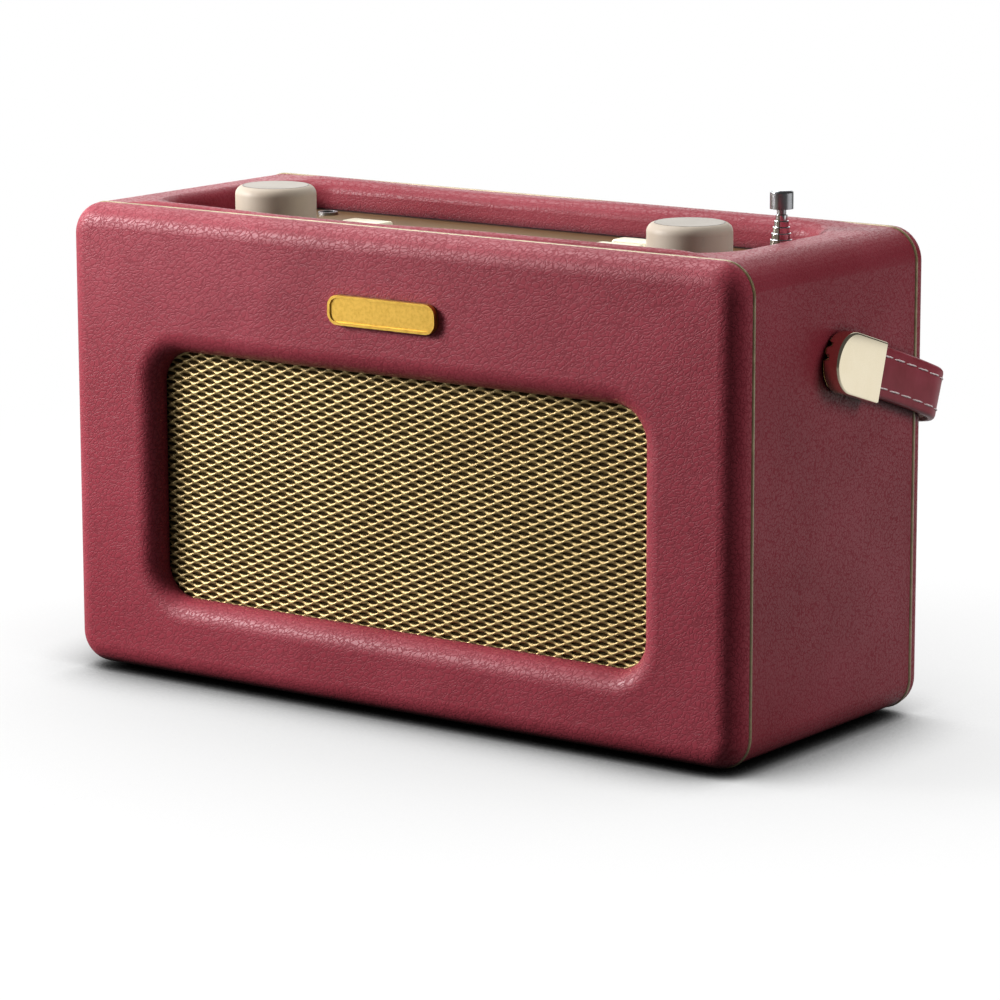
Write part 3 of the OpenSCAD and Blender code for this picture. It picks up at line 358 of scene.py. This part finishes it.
# Shrink sleeve of the cells: smooth green film
cell_green = moulded("printed_cell_sleeve", "#2B5E49", "#316B54", "#37765E", 0.3, 1.5 * mm, 0.02 * mm)
# Felted board of the speakers: a brown near black that takes nearly all light
baffle_black = moulded("black_felted_board", "#2A2010", "#312614", "#392E1A", 0.9, 0.5 * mm, 0.15 * mm,
                       Specular_IOR_Level=0.15)


# Speaker cloth: dark plain weave, its threads drawn about 1 mm apart to show
def woven_cloth():
    made, tree, skin, place = start_material("woven_speaker_cloth", "#33281A", 0.95, Specular_IOR_Level=0.1)
    pitch = {"Scale": 1 / (3 * mm)}
    warp = put(tree, "ShaderNodeTexWave", {"bands_direction": "X"}, pitch, {"Vector": place})
    weft = put(tree, "ShaderNodeTexWave", {"bands_direction": "Z"}, pitch, {"Vector": place})
    weave = put(tree, "ShaderNodeMath", times, links={0: warp.outputs["Fac"], 1: weft.outputs["Fac"]})
    put(tree, "ShaderNodeValToRGB", links={"Fac": weave.outputs["Value"]},
        stops=[(0.0, "#241A08"), (0.5, "#332610"), (1.0, "#433418")], feeds=skin.inputs["Base Color"])
    put(tree, "ShaderNodeBump", values={"Strength": 0.4, "Distance": 0.1 * mm},
        links={"Height": weave.outputs["Value"]}, feeds=skin.inputs["Normal"])
    return made


cloth = woven_cloth()


# Plywood carcass: birch veneer with its grain along the width, in streaks about 14 mm long and 2 mm wide
def birch_ply():
    made, tree, skin, place = start_material("birch_plywood", "#C9A878", 0.55)
    streak = (1 / (13.89 * mm), 1 / (1.852 * mm), 1 / (1.852 * mm))
    stretch = put(tree, "ShaderNodeMapping", values={"Scale": streak}, links={"Vector": place})
    ring = put(tree, "ShaderNodeTexNoise", values={"Scale": 1.0, "Detail": 6.0, "Distortion": 0.6},
               links={"Vector": stretch.outputs["Vector"]})
    put(tree, "ShaderNodeValToRGB", links={"Fac": ring.outputs["Fac"]},
        stops=[(0.3, "#A8855A"), (0.5, "#C6A574"), (0.7, "#D8BC8E")], feeds=skin.inputs["Base Color"])
    put(tree, "ShaderNodeBump", values={"Strength": 0.2, "Distance": 0.1 * mm},
        links={"Height": ring.outputs["Fac"]}, feeds=skin.inputs["Normal"])
    return made


ply = birch_ply()


# Display window: smoked acrylic, dark violet and polished, with a faint dusting in the gloss
def smoked_window():
    made, tree, skin, place = start_material("smoked_acrylic", "#1B1430", 0.06, IOR=1.49, Coat_Weight=0.6)
    dust = put(tree, "ShaderNodeTexNoise", values={"Scale": 1 / (2 * mm), "Detail": 4.0},
               links={"Vector": place})
    put(tree, "ShaderNodeValToRGB", links={"Fac": dust.outputs["Fac"]},
        stops=[(0.3, "#171129"), (0.7, "#211839")], feeds=skin.inputs["Base Color"])
    put(tree, "ShaderNodeMapRange", values={"To Min": 0.04, "To Max": 0.1},
        links={"Value": dust.outputs["Fac"]}, feeds=skin.inputs["Roughness"])
    return made


window = smoked_window()

# Finish of each solid
finishes = {
    "front_cover": front_hide, "cabinet_wrap": side_hide, "back_cover": side_hide,
    "cabinet_shell": ply, "corner_blocks": ply, "front_frame": ply, "back_panel": ply,
    "front_piping": piping, "back_piping": piping, "badge": badge_gold,
    "speaker_baffle": baffle_black, "speaker_frames": steel, "speaker_cones": cone_paper,
    "speaker_magnets": steel, "speaker_screws": steel, "back_screws": steel, "feet": foot_rubber,
    "fascia_plate": panel_bronze, "fascia_screws": steel, "display_lens": window,
    "display_module": black_abs, "control_board": board_green, "board_spacers": nylon,
    "button_switches": black_abs,
    "encoder_bodies": steel, "encoder_nuts": steel, "headphone_socket": black_abs, "socket_nut": steel,
    "main_board": board_green, "dc_inlet": black_abs, "battery_tray": black_abs, "battery_cells": cell_green,
    "battery_door": door_abs, "door_pin": steel, "aerial_clamp": black_abs, "aerial_sleeve": chrome,
    "aerial_tube_1": chrome, "aerial_tube_2": chrome, "aerial_tube_3": chrome, "aerial_tube_4": chrome,
    "aerial_tube_5": chrome, "aerial_rod": nickel, "volume_knob": knob_taupe, "volume_inlay": knob_inlay,
    "volume_shaft": steel, "tuning_knob": knob_taupe, "tuning_inlay": knob_inlay, "tuning_shaft": steel,
    "tuning_plunger": black_abs, "handle_pivots": steel, "pivot_nuts": steel,
}
for name, finish in finishes.items():
    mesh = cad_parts[name].data
    mesh.materials.clear()
    mesh.materials.append(finish)


# Ways of working that the pieces share
def only(obj):
    bpy.ops.object.select_all(action="DESELECT")
    obj.select_set(True)
    bpy.context.view_layer.objects.active = obj
    return obj


def named(obj, name, finish):
    obj.name = name
    obj.data.name = name
    obj.data.materials.clear()
    obj.data.materials.append(finish)
    return obj


def apply_all(obj):
    only(obj)
    for step in list(obj.modifiers):
        bpy.ops.object.modifier_apply(modifier=step.name)


def smooth(obj, degrees):
    only(obj)
    bpy.ops.object.shade_smooth_by_angle(angle=math.radians(degrees))


def settle(obj):
    only(obj)
    bpy.ops.object.transform_apply(location=True, rotation=True, scale=True)


def copied(node):
    """A copy of the CAD node to work on, with a mesh of its own."""
    only(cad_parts[node])
    bpy.ops.object.duplicate(linked=False)
    obj = bpy.context.view_layer.objects.active
    obj.parent = None
    obj.data = obj.data.copy()
    return obj


def welded(obj, flatten=False):
    """Joins the mesh's doubled points, and drops edges between level faces where asked."""
    only(obj)
    bpy.ops.object.mode_set(mode="EDIT")
    bpy.ops.mesh.select_all(action="SELECT")
    bpy.ops.mesh.remove_doubles(threshold=0.002 * mm)
    if flatten:
        bpy.ops.mesh.dissolve_limited(angle_limit=math.radians(0.5))
    bpy.ops.object.mode_set(mode="OBJECT")


def softened(node, name, finish, width, body):
    """The CAD node's own shape with its sharp edges rounded."""
    sharp = 40
    obj = copied(node)
    welded(obj, flatten=True)
    edge = obj.modifiers.new("rounded_edges", "BEVEL")
    edge.width = width
    edge.segments = 5
    edge.limit_method = "ANGLE"
    edge.use_clamp_overlap = False
    edge.angle_limit = math.radians(sharp)
    apply_all(obj)
    smooth(obj, sharp)
    named(obj, name, finish)
    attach(obj, body)
    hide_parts(node)
    return obj


# Push buttons with rounded edges
for key in ("power", "mode", "menu", "preset", "back"):
    softened(key + "_button", key + "_key_cap", cream_abs, 0.45 * mm, key + "_key")


# Back screws: round heads with a cross cut into each
def cross_screws():
    obj = copied("back_screws")
    low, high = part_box("back_screws")
    middle = ((low[0] + high[0]) / 2, (low[2] + high[2]) / 2)
    long, wide, deep = 3.6 * mm, 1.0 * mm, 0.8 * mm
    bars = []
    for sx in (-1, 1):
        for sz in (-1, 1):
            head = [v.co for v in obj.data.vertices
                    if (v.co.x - middle[0]) * sx > 0 and (v.co.z - middle[1]) * sz > 0]
            x = (min(c.x for c in head) + max(c.x for c in head)) / 2
            z = (min(c.z for c in head) + max(c.z for c in head)) / 2
            for size in ((long, wide), (wide, long)):
                bpy.ops.mesh.primitive_cube_add(size=1, location=(x, high[1], z))
                bar = bpy.context.view_layer.objects.active
                bar.scale = (size[0], 2 * deep, size[1])
                settle(bar)
                bars.append(bar)
    for bar in bars:
        cut = obj.modifiers.new("cross", "BOOLEAN")
        cut.operation = "DIFFERENCE"
        cut.solver = "EXACT"
        cut.object = bar
    apply_all(obj)
    for bar in bars:
        bpy.data.objects.remove(bar)
    smooth(obj, 35)
    named(obj, "back_screw_heads", steel)
    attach(obj, "cabinet")
    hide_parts("back_screws")
    return obj


cross_screws()


# Strap end caps with a polished bevel
softened("handle_caps", "strap_end_caps", cap_brass, 0.8 * mm, "handle")


# Cabinet leather: a thin pad lifts the rim of the well between its edge and the piping
front_pad, front_pad_w, front_pad_high = front_y + 9 * mm, 6 * mm, 1.0
rear_pad, rear_pad_w, rear_pad_high = front_y + 96 * mm, 9 * mm, 0.7
pad_full_to, pad_gone_at = 96 * mm, 112 * mm


def padded_rim(y):
    """Lift of the rim at a place across it, steep beside the piping and easing off into the well."""
    front = (y - front_pad) / front_pad_w
    rear = (rear_pad - y) / rear_pad_w
    for part, high in ((front, front_pad_high), (rear, rear_pad_high)):
        if 0 < part < 1:
            return high * math.sin(math.pi * part ** 0.6)
    return 0.0


def eased(value, low, high):
    """A smooth step from 0 at low to 1 at high."""
    part = min(max((value - low) / (high - low), 0), 1)
    return part * part * (3 - 2 * part)


def rim_lift(x):
    """The pad is pressed down left of the middle and dies out at the ends of the well."""
    pressed, swelling = 0.4 * mm, 0.75 * mm
    from_hollow = abs(x + 32 * mm)
    fullness = pressed + swelling * eased(from_hollow, 12 * mm, 62 * mm)
    return fullness * (1 - eased(abs(x), pad_full_to, pad_gone_at))


def wrap_leather():
    """The cabinet's leather, cut finely enough along the rim to take the pad's shape."""
    obj = copied("cabinet_wrap")
    welded(obj)
    lengthwise, across_rim = Vector((1, 0, 0)), Vector((0, 1, 0))
    steps = (0, 0.03, 0.08, 0.15, 0.24, 0.35, 0.5, 0.66, 0.82)
    cuts = [(Vector((0, front_pad + front_pad_w * t, 0)), across_rim) for t in steps]
    cuts += [(Vector((0, rear_pad - rear_pad_w * t, 0)), across_rim) for t in steps]
    fine, coarse = 2 * mm, 8 * mm
    cuts += [(Vector((sx * (pad_full_to + fine * i), 0, 0)), lengthwise)
             for sx in (-1, 1) for i in range(9)]
    cuts += [(Vector((coarse * i, 0, 0)), lengthwise) for i in range(-11, 12)]
    work = bmesh.new()
    work.from_mesh(obj.data)
    floor = wrap_high[2] - 4.5 * mm
    for spot, across in cuts:
        top = [f for f in work.faces if all(v.co.z > floor for v in f.verts)]
        parts = top + list({e for f in top for e in f.edges}) + list({v for f in top for v in f.verts})
        bmesh.ops.bisect_plane(work, geom=parts, dist=0.001 * mm, plane_co=spot, plane_no=across)
    for vertex in work.verts:
        if vertex.co.z > floor:
            vertex.co.z += padded_rim(vertex.co.y) * rim_lift(vertex.co.x)
    bmesh.ops.triangulate(work, faces=work.faces)
    work.to_mesh(obj.data)
    work.free()
    smooth(obj, 35)
    named(obj, "wrap_leather", side_hide)
    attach(obj, "cabinet")
    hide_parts("cabinet_wrap")
    return obj


wrap_leather()


def sunk_piping():
    """The front cord as it lies in its seam: pulled down between the two leathers along the top."""
    obj = copied("front_piping")
    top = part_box("front_piping")[1][2]
    sink, begins, full = 0.15 * mm, top - 12 * mm, top - 2 * mm
    for vertex in obj.data.vertices:
        vertex.co.z -= sink * eased(vertex.co.z, begins, full)
    smooth(obj, 60)
    named(obj, "front_piping_cord", piping)
    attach(obj, "cabinet")
    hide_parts("front_piping")
    return obj


sunk_piping()


# Expanded metal grille: one diamond cell, then rows and columns of it, with sizes in millimetres
columns, rows = 29, 30
pitch_x, pitch_z = 6.3, 2.8


def grille_cell():
    """One mesh opening: a lens hole in a diamond of metal that is crowned where four strands meet."""
    steps, rounds = 12, 5
    half_w, half_h = pitch_x / 2, pitch_z / 2
    hole_w, hole_h = 1.98, 0.5
    corners = ((half_w, 0), (0, half_h), (-half_w, 0), (0, -half_h))
    bpy.ops.object.select_all(action="DESELECT")
    bpy.ops.mesh.primitive_circle_add(vertices=steps, radius=1.0, rotation=(math.radians(90), 0, 0))
    obj = bpy.context.view_layer.objects.active
    settle(obj)
    bpy.ops.object.mode_set(mode="EDIT")
    for ring in range(rounds - 1):
        bpy.ops.mesh.select_all(action="DESELECT")
        bpy.ops.object.mode_set(mode="OBJECT")
        count = len(obj.data.vertices)
        for vertex in obj.data.vertices:
            vertex.select = vertex.index >= count - steps
        for line in obj.data.edges:
            line.select = all(v >= count - steps for v in line.vertices)
        bpy.ops.object.mode_set(mode="EDIT")
        bpy.ops.mesh.extrude_edges_indiv()
    bpy.ops.object.mode_set(mode="OBJECT")
    rings = [[] for _ in range(rounds)]
    for vertex in obj.data.vertices:
        rings[vertex.index // steps].append(vertex)
    for ring, points in enumerate(rings):
        for vertex in points:
            turn = math.atan2(vertex.co.z, vertex.co.x) / (math.pi / 2)
            quarter = math.floor(turn + 1e-6)
            part = turn - quarter
            a = corners[quarter % 4]
            b = corners[(quarter + 1) % 4]
            rim = (a[0] + (b[0] - a[0]) * part, a[1] + (b[1] - a[1]) * part)
            angle = turn * math.pi / 2
            pinch = 0.72 + 0.28 * abs(math.sin(angle))
            hole = (hole_w * math.cos(angle), hole_h * math.sin(angle) * pinch)
            dip = 0.4 * (1 - abs(2 * part - 1) ** 2)
            # From the cell's outer line over the strand into the hole, then back along the rear
            depth = (0.02 + dip, 0.14 + dip, 0.62, 0.9, 0.9)[ring]
            mix = (0.0, 0.5, 1.0, 0.94, 0.0)[ring]
            x = rim[0] + (hole[0] - rim[0]) * mix
            z = rim[1] + (hole[1] - rim[1]) * mix
            vertex.co = Vector((x, depth, z)) * mm
    return obj


def expanded_grille():
    obj = grille_cell()
    only(obj)
    bpy.ops.object.duplicate(linked=False)
    bpy.ops.transform.translate(value=(pitch_x / 2 * mm, 0, pitch_z / 2 * mm))
    obj.select_set(True)
    bpy.context.view_layer.objects.active = obj
    bpy.ops.object.join()
    settle(obj)
    for axis, count, pitch in ((0, columns, pitch_x), (2, rows, pitch_z)):
        repeat = obj.modifiers.new("repeat", "ARRAY")
        repeat.count = count
        repeat.use_relative_offset = False
        repeat.use_constant_offset = True
        shift = [0.0, 0.0, 0.0]
        shift[axis] = pitch * mm
        repeat.constant_offset_displace = shift
    apply_all(obj)
    middle = (grille_low[2] + grille_high[2]) / 2
    only(obj)
    bpy.ops.transform.translate(value=(-(columns - 0.5) * pitch_x / 2 * mm, grille_low[1],
                                       middle - (rows - 0.5) * pitch_z / 2 * mm))
    settle(obj)
    bpy.ops.object.mode_set(mode="EDIT")
    bpy.ops.mesh.select_all(action="SELECT")
    bpy.ops.mesh.remove_doubles(threshold=0.01 * mm)
    bpy.ops.mesh.normals_make_consistent(inside=False)
    bpy.ops.object.mode_set(mode="OBJECT")
    smooth(obj, 60)
    named(obj, "expanded_metal_grille", grille_gold)
    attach(obj, "cabinet")
    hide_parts("grille")
    return obj


expanded_grille()


def speaker_cloth():
    """Thin dark cloth glued behind the mesh, so the speakers don't show through it."""
    bpy.ops.object.select_all(action="DESELECT")
    middle = [(a + b) / 2 for a, b in zip(grille_low, grille_high)]
    width, height = grille_high[0] - grille_low[0], grille_high[2] - grille_low[2]
    border, thick, behind = 0.5 * mm, 0.06 * mm, 0.95 * mm
    bpy.ops.mesh.primitive_cube_add(size=1, location=(middle[0], grille_low[1] + behind, middle[2]))
    obj = bpy.context.view_layer.objects.active
    obj.scale = (width - 2 * border, thick, height - 2 * border)
    settle(obj)
    named(obj, "speaker_cloth", cloth)
    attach(obj, "cabinet")
    return obj


speaker_cloth()


# Carrying strap, in its own plane: u runs back from the pivots, x across the cabinet
droop = math.radians(17)
strap_w, strap_t = 15.5 * mm, 3.2 * mm
strap_start, strap_rise, strap_gap = 4 * mm, 0.6 * mm, 0.75 * mm
reach, bend = 67 * mm, 17 * mm
slack, sag = 22 * mm, math.radians(4) / (45 * mm)
arm_mid = side_x + strap_gap + strap_t / 2


def strap_path(start, inset):
    """Points along the strap's middle from one cap to the other, moved outwards by inset."""
    arm_steps, bend_steps, back_steps = 8, 16, 19
    radius = bend - strap_t / 2
    side = arm_mid + inset
    far = reach - strap_t / 2 + inset
    turn = radius + inset
    points = [(side, start)]
    straight = far - turn
    for i in range(1, arm_steps + 1):
        points.append((side, start + (straight - start) * i / arm_steps))
    for i in range(1, bend_steps + 1):
        a = math.pi / 2 * i / bend_steps
        points.append((side - turn + turn * math.cos(a), straight + turn * math.sin(a)))
    half = side - turn
    for i in range(1, back_steps + 1):
        points.append((half - half * i / back_steps, far))
    return points + [(-x, u) for x, u in reversed(points[:-1])]


def on_strap(x, u, v):
    """A point of the strap's plane in the model's frame; v runs across the strap's width."""
    v = v + strap_rise
    free = max(u - slack, 0)
    angle = droop + sag * free
    back = min(u, slack) * math.cos(droop) + (math.sin(angle) - math.sin(droop)) / sag
    rise = (math.cos(angle) - math.cos(droop)) / sag - min(u, slack) * math.sin(droop)
    return pivot + Vector((x, back + v * math.sin(angle), rise + v * math.cos(angle)))


def strap_body():
    """The strap's rounded section carried along its path, with the lining on the inner face."""
    rounded = 1.25 * mm
    lining_first, lining_last = 4, 10
    section = []
    for sx, sv, first in ((1, 1, 0), (-1, 1, 90), (-1, -1, 180), (1, -1, 270)):
        for i in range(4):
            a = math.radians(first + 30 * i)
            section.append((sx * (strap_t / 2 - rounded) + rounded * math.cos(a),
                            sv * (strap_w / 2 - rounded) + rounded * math.sin(a)))
    path = strap_path(strap_start, 0)
    made = bpy.data.meshes.new("strap")
    obj = bpy.data.objects.new("strap", made)
    bpy.context.collection.objects.link(obj)
    work = bmesh.new()
    loops = []
    for i, (x, u) in enumerate(path):
        before = path[max(i - 1, 0)]
        after = path[min(i + 1, len(path) - 1)]
        run = Vector((after[0] - before[0], after[1] - before[1])).normalized()
        out = Vector((run[1], -run[0]))
        loops.append([work.verts.new(on_strap(x + out[0] * t, u + out[1] * t, v)) for t, v in section])
    for a, b in zip(loops, loops[1:]):
        for i in range(len(section)):
            j = (i + 1) % len(section)
            work.faces.new((a[i], b[i], b[j], a[j]))
    work.faces.new(loops[0])
    work.faces.new(list(reversed(loops[-1])))
    bmesh.ops.recalc_face_normals(work, faces=work.faces)
    work.to_mesh(made)
    work.free()
    smooth(obj, 50)
    named(obj, "carrying_strap", hide_strap)
    made.materials.append(lining)
    count = len(section)
    for face in made.polygons:
        if face.index < count * (len(path) - 1):
            face.material_index = 1 if lining_first <= face.index % count <= lining_last else 0
    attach(obj, "handle")
    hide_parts("handle_strap")
    return obj


strap_body()


def strap_stitches():
    """Two rows of saddle stitches on the outer face, each a short crowned length of thread."""
    pitch, length, thick = 7.0 * mm, 6.3 * mm, 0.25 * mm
    first, from_edge = 17.6 * mm, 3 * mm
    crown, sink, slant = 0.14 * mm, 0.22 * mm, 0.12 * mm
    rings, sides = 7, 6
    line = strap_path(first, strap_t / 2)
    marks = [0.0]
    for a, b in zip(line, line[1:]):
        marks.append(marks[-1] + math.dist(a, b))

    def along(s):
        s = min(max(s, 0.0), marks[-1])
        k = max(i for i in range(len(marks) - 1) if marks[i] <= s)
        part = (s - marks[k]) / (marks[k + 1] - marks[k])
        a, b = line[k], line[k + 1]
        spot = Vector((a[0] + (b[0] - a[0]) * part, a[1] + (b[1] - a[1]) * part))
        run = Vector((b[0] - a[0], b[1] - a[1])).normalized()
        return spot, Vector((run[1], -run[0]))

    made = bpy.data.meshes.new("stitches")
    obj = bpy.data.objects.new("stitches", made)
    bpy.context.collection.objects.link(obj)
    work = bmesh.new()
    count = int(marks[-1] // pitch)
    for row in (-1, 1):
        for k in range(count):
            middle = (k + 0.5) * marks[-1] / count
            loops = []
            for i in range(rings):
                part = i / (rings - 1) * 2 - 1
                spot, out = along(middle + part * length / 2)
                swell = max(0.3, (1 - part ** 6)) * thick
                lift = crown - sink * part ** 8
                v = row * (strap_w / 2 - from_edge) + part * slant
                ring = []
                for j in range(sides):
                    a = j * math.tau / sides
                    off = lift + swell * 0.8 * math.sin(a)
                    ring.append(work.verts.new(on_strap(spot[0] + out[0] * off, spot[1] + out[1] * off,
                                                        v + swell * math.cos(a))))
                loops.append(ring)
            for a, b in zip(loops, loops[1:]):
                for j in range(sides):
                    after = (j + 1) % sides
                    work.faces.new((a[j], b[j], b[after], a[after]))
            work.faces.new(loops[0])
            work.faces.new(list(reversed(loops[-1])))
    bmesh.ops.recalc_face_normals(work, faces=work.faces)
    work.to_mesh(made)
    work.free()
    smooth(obj, 60)
    named(obj, "strap_stitching", thread)
    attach(obj, "handle")
    return obj


strap_stitches()


# Stage: pale floor that runs out to plain white, with the radio's soft shadow on it
def stage_floor():
    floor_radius, lit_radius = 6.0, 0.55
    contact_reach, shadow_reach = 45 * mm, 240 * mm
    camera_way = (-0.589, 0.808, 0)
    bpy.ops.object.select_all(action="DESELECT")
    bpy.ops.mesh.primitive_circle_add(vertices=64, radius=floor_radius, fill_type="NGON")
    obj = bpy.context.view_layer.objects.active
    made = bpy.data.materials.new("pale_studio_floor")
    made.use_nodes = True
    tree = made.node_tree
    tree.nodes.clear()
    place = put(tree, "ShaderNodeTexCoord").outputs["Object"]
    seen = put(tree, "ShaderNodeLightPath")
    # Near the radio the floor is grey under its shadow, and further off it is white
    flat = put(tree, "ShaderNodeMapping", values={"Scale": (1 / lit_radius, 1 / lit_radius, 0.0)},
               links={"Vector": place})
    away = put(tree, "ShaderNodeVectorMath", {"operation": "LENGTH"}, links={0: flat.outputs["Vector"]})
    fade = put(tree, "ShaderNodeMapRange", soft_ends, {"From Min": 0.3, "From Max": 1.0},
               {"Value": away.outputs["Value"]})
    close = put(tree, "ShaderNodeAmbientOcclusion", {"samples": 8}, {"Distance": contact_reach})
    wide = put(tree, "ShaderNodeAmbientOcclusion", {"samples": 8}, {"Distance": shadow_reach})
    lifted = put(tree, "ShaderNodeMapRange", soft_ends, {"From Min": 0.1, "From Max": 0.88},
                 {"Value": close.outputs["AO"]})
    contact = put(tree, "ShaderNodeMath", {"operation": "POWER"}, {1: 1.85}, {0: lifted.outputs["Result"]})
    tint = put(tree, "ShaderNodeValToRGB", links={"Fac": contact.outputs["Value"]},
               stops=[(0.0, "#0C0C0C"), (1.0, "#484848")])
    card = put(tree, "ShaderNodeBsdfDiffuse", links={"Color": tint.outputs["Color"]})
    ring = put(tree, "ShaderNodeMapRange", links={"Value": wide.outputs["AO"]},
               values={"From Min": 0.3, "From Max": 1.0, "To Min": 0.6, "To Max": 0.96})
    level = put(tree, "ShaderNodeMath", times,
                links={0: ring.outputs["Result"], 1: contact.outputs["Value"]})
    glow = put(tree, "ShaderNodeEmission", values={"Color": srgb("#FFFFFF")},
               links={"Strength": level.outputs["Value"]})
    lit = put(tree, "ShaderNodeAddShader", links={0: card.outputs["BSDF"], 1: glow.outputs["Emission"]})
    white = put(tree, "ShaderNodeEmission", values={"Color": srgb("#FFFFFF"), "Strength": 1.0})
    near = put(tree, "ShaderNodeMixShader", links={0: fade.outputs["Result"], 1: lit.outputs["Shader"],
                                                   2: white.outputs["Emission"]})
    # In mirrors the floor is dim in front of the radio, far behind it and where the camera stands
    split = put(tree, "ShaderNodeSeparateXYZ", links={"Vector": place})
    behind = put(tree, "ShaderNodeMapRange", soft_ends,
                 {"From Min": -0.15, "From Max": 0.2, "To Min": 0.22}, {"Value": split.outputs["Y"]})
    past = put(tree, "ShaderNodeVectorMath", {"operation": "DOT_PRODUCT"}, {1: camera_way}, {0: place})
    gone = put(tree, "ShaderNodeMapRange", soft_ends,
               {"From Min": 0.42, "From Max": 0.68, "To Min": 1.0, "To Max": 0.15},
               {"Value": past.outputs["Value"]})
    stand = put(tree, "ShaderNodeMapRange", soft_ends,
                {"From Min": -0.82, "From Max": -0.6, "To Min": 0.35}, {"Value": past.outputs["Value"]})
    ends = put(tree, "ShaderNodeMath", times, links={0: stand.outputs["Result"], 1: gone.outputs["Result"]})
    facing = put(tree, "ShaderNodeMath", times,
                 links={0: behind.outputs["Result"], 1: ends.outputs["Value"]})
    mirrored = put(tree, "ShaderNodeMath", times,
                   links={0: seen.outputs["Is Glossy Ray"], 1: facing.outputs["Value"]})
    direct = put(tree, "ShaderNodeMath", larger,
                 links={0: seen.outputs["Is Camera Ray"], 1: mirrored.outputs["Value"]})
    shown = put(tree, "ShaderNodeMath", larger,
                links={0: direct.outputs["Value"], 1: seen.outputs["Is Transmission Ray"]})
    dim = put(tree, "ShaderNodeBsdfDiffuse", values={"Color": srgb("#303030")})
    both = put(tree, "ShaderNodeMixShader", links={0: shown.outputs["Value"], 1: dim.outputs["BSDF"],
                                                   2: near.outputs["Shader"]})
    put(tree, "ShaderNodeOutputMaterial", links={"Surface": both.outputs["Shader"]})
    named(obj, "studio_floor", made)


stage_floor()


def studio_world():
    """White where the camera looks past the radio, and darker towards the front, as in a studio."""
    wall_way = (-0.75, 0.6, 0.25)
    made = bpy.data.worlds.new("studio")
    bpy.context.scene.world = made
    made.use_nodes = True
    tree = made.node_tree
    tree.nodes.clear()
    seen = put(tree, "ShaderNodeLightPath")
    way = put(tree, "ShaderNodeTexCoord").outputs["Generated"]
    back = put(tree, "ShaderNodeVectorMath", {"operation": "DOT_PRODUCT"}, {1: wall_way}, {0: way})
    wall = put(tree, "ShaderNodeMapRange", soft_ends, {"From Min": 0.45, "From Max": 0.9},
               {"Value": back.outputs["Value"]})
    height = put(tree, "ShaderNodeSeparateXYZ", links={"Vector": way})
    ceiling = put(tree, "ShaderNodeMapRange", soft_ends,
                  {"From Min": 0.62, "From Max": 0.85, "To Min": 1.0, "To Max": 0.08},
                  {"Value": height.outputs["Z"]})
    bright = put(tree, "ShaderNodeMath", times,
                 links={0: wall.outputs["Result"], 1: ceiling.outputs["Result"]})
    level = put(tree, "ShaderNodeMapRange", values={"To Min": 0.08, "To Max": 1.75},
                links={"Value": bright.outputs["Value"]})
    room = put(tree, "ShaderNodeBackground", values={"Color": srgb("#FFFFFF"), "Strength": 0.15})
    mirrored = put(tree, "ShaderNodeBackground", values={"Color": srgb("#FFFFFF")},
                   links={"Strength": level.outputs["Result"]})
    white = put(tree, "ShaderNodeBackground", values={"Color": srgb("#FFFFFF"), "Strength": 1.0})
    direct = put(tree, "ShaderNodeMath", larger,
                 links={0: seen.outputs["Is Camera Ray"], 1: seen.outputs["Is Transmission Ray"]})
    gloss = put(tree, "ShaderNodeMixShader",
                links={0: seen.outputs["Is Glossy Ray"], 1: room.outputs["Background"],
                       2: mirrored.outputs["Background"]})
    both = put(tree, "ShaderNodeMixShader", links={0: direct.outputs["Value"], 1: gloss.outputs["Shader"],
                                                   2: white.outputs["Background"]})
    put(tree, "ShaderNodeOutputWorld", links={"Surface": both.outputs["Shader"]})


studio_world()


def softbox(name, place, aim, width, height, power, mirrored=True):
    """A lit panel that faces its aim; one that isn't mirrored leaves no patch in the metals."""
    made = bpy.data.lights.new(name, "AREA")
    made.shape = "RECTANGLE"
    made.size = width
    made.size_y = height
    made.energy = power
    obj = bpy.data.objects.new(name, made)
    bpy.context.collection.objects.link(obj)
    obj.location = place
    obj.rotation_euler = (Vector(aim) - Vector(place)).to_track_quat("-Z", "Y").to_euler()
    obj.visible_glossy = mirrored


softbox("key_softbox", (-0.95, -0.6, 0.55), (0, 0, 0.08), width=0.3, height=0.3, power=18)
softbox("fill_softbox", (-0.42, -0.38, 0.25), (-0.1, -0.06, 0.14), width=0.2, height=0.2, power=1.6)
softbox("top_softbox", (-0.45, 0.0, 0.95), (0, 0, 0.14), width=0.6, height=0.5, power=7)
softbox("side_softbox", (1.1, 0.5, 0.7), (0, 0, 0.12), width=0.7, height=0.7, power=8.5, mirrored=False)

# Camera at the photograph's angle
view_az, view_el, view_roll = math.radians(36.08), math.radians(11.217), math.radians(-0.127)
view_target, view_distance = Vector((5.309 * mm, cabinet_y, 60.737 * mm)), 1.3004
level_run = math.cos(view_el)
ahead = Vector((-math.sin(view_az) * level_run, math.cos(view_az) * level_run, -math.sin(view_el)))
right = Vector((math.cos(view_az), math.sin(view_az), 0))
up = right.cross(ahead)
right_rolled = right * math.cos(view_roll) + up * math.sin(view_roll)
up_rolled = up * math.cos(view_roll) - right * math.sin(view_roll)
lens = bpy.data.cameras.new("camera")
lens.sensor_fit = "HORIZONTAL"
lens.sensor_width = 36
lens.lens = 151.926
lens.clip_start = 0.05
lens.clip_end = 50
camera = bpy.data.objects.new("camera", lens)
bpy.context.collection.objects.link(camera)
camera.matrix_world = Matrix.Translation(view_target - ahead * view_distance) @ Matrix(
    (right_rolled, up_rolled, -ahead)).transposed().to_4x4()
bpy.context.scene.camera = camera
bpy.context.scene.view_settings.view_transform = "Standard"
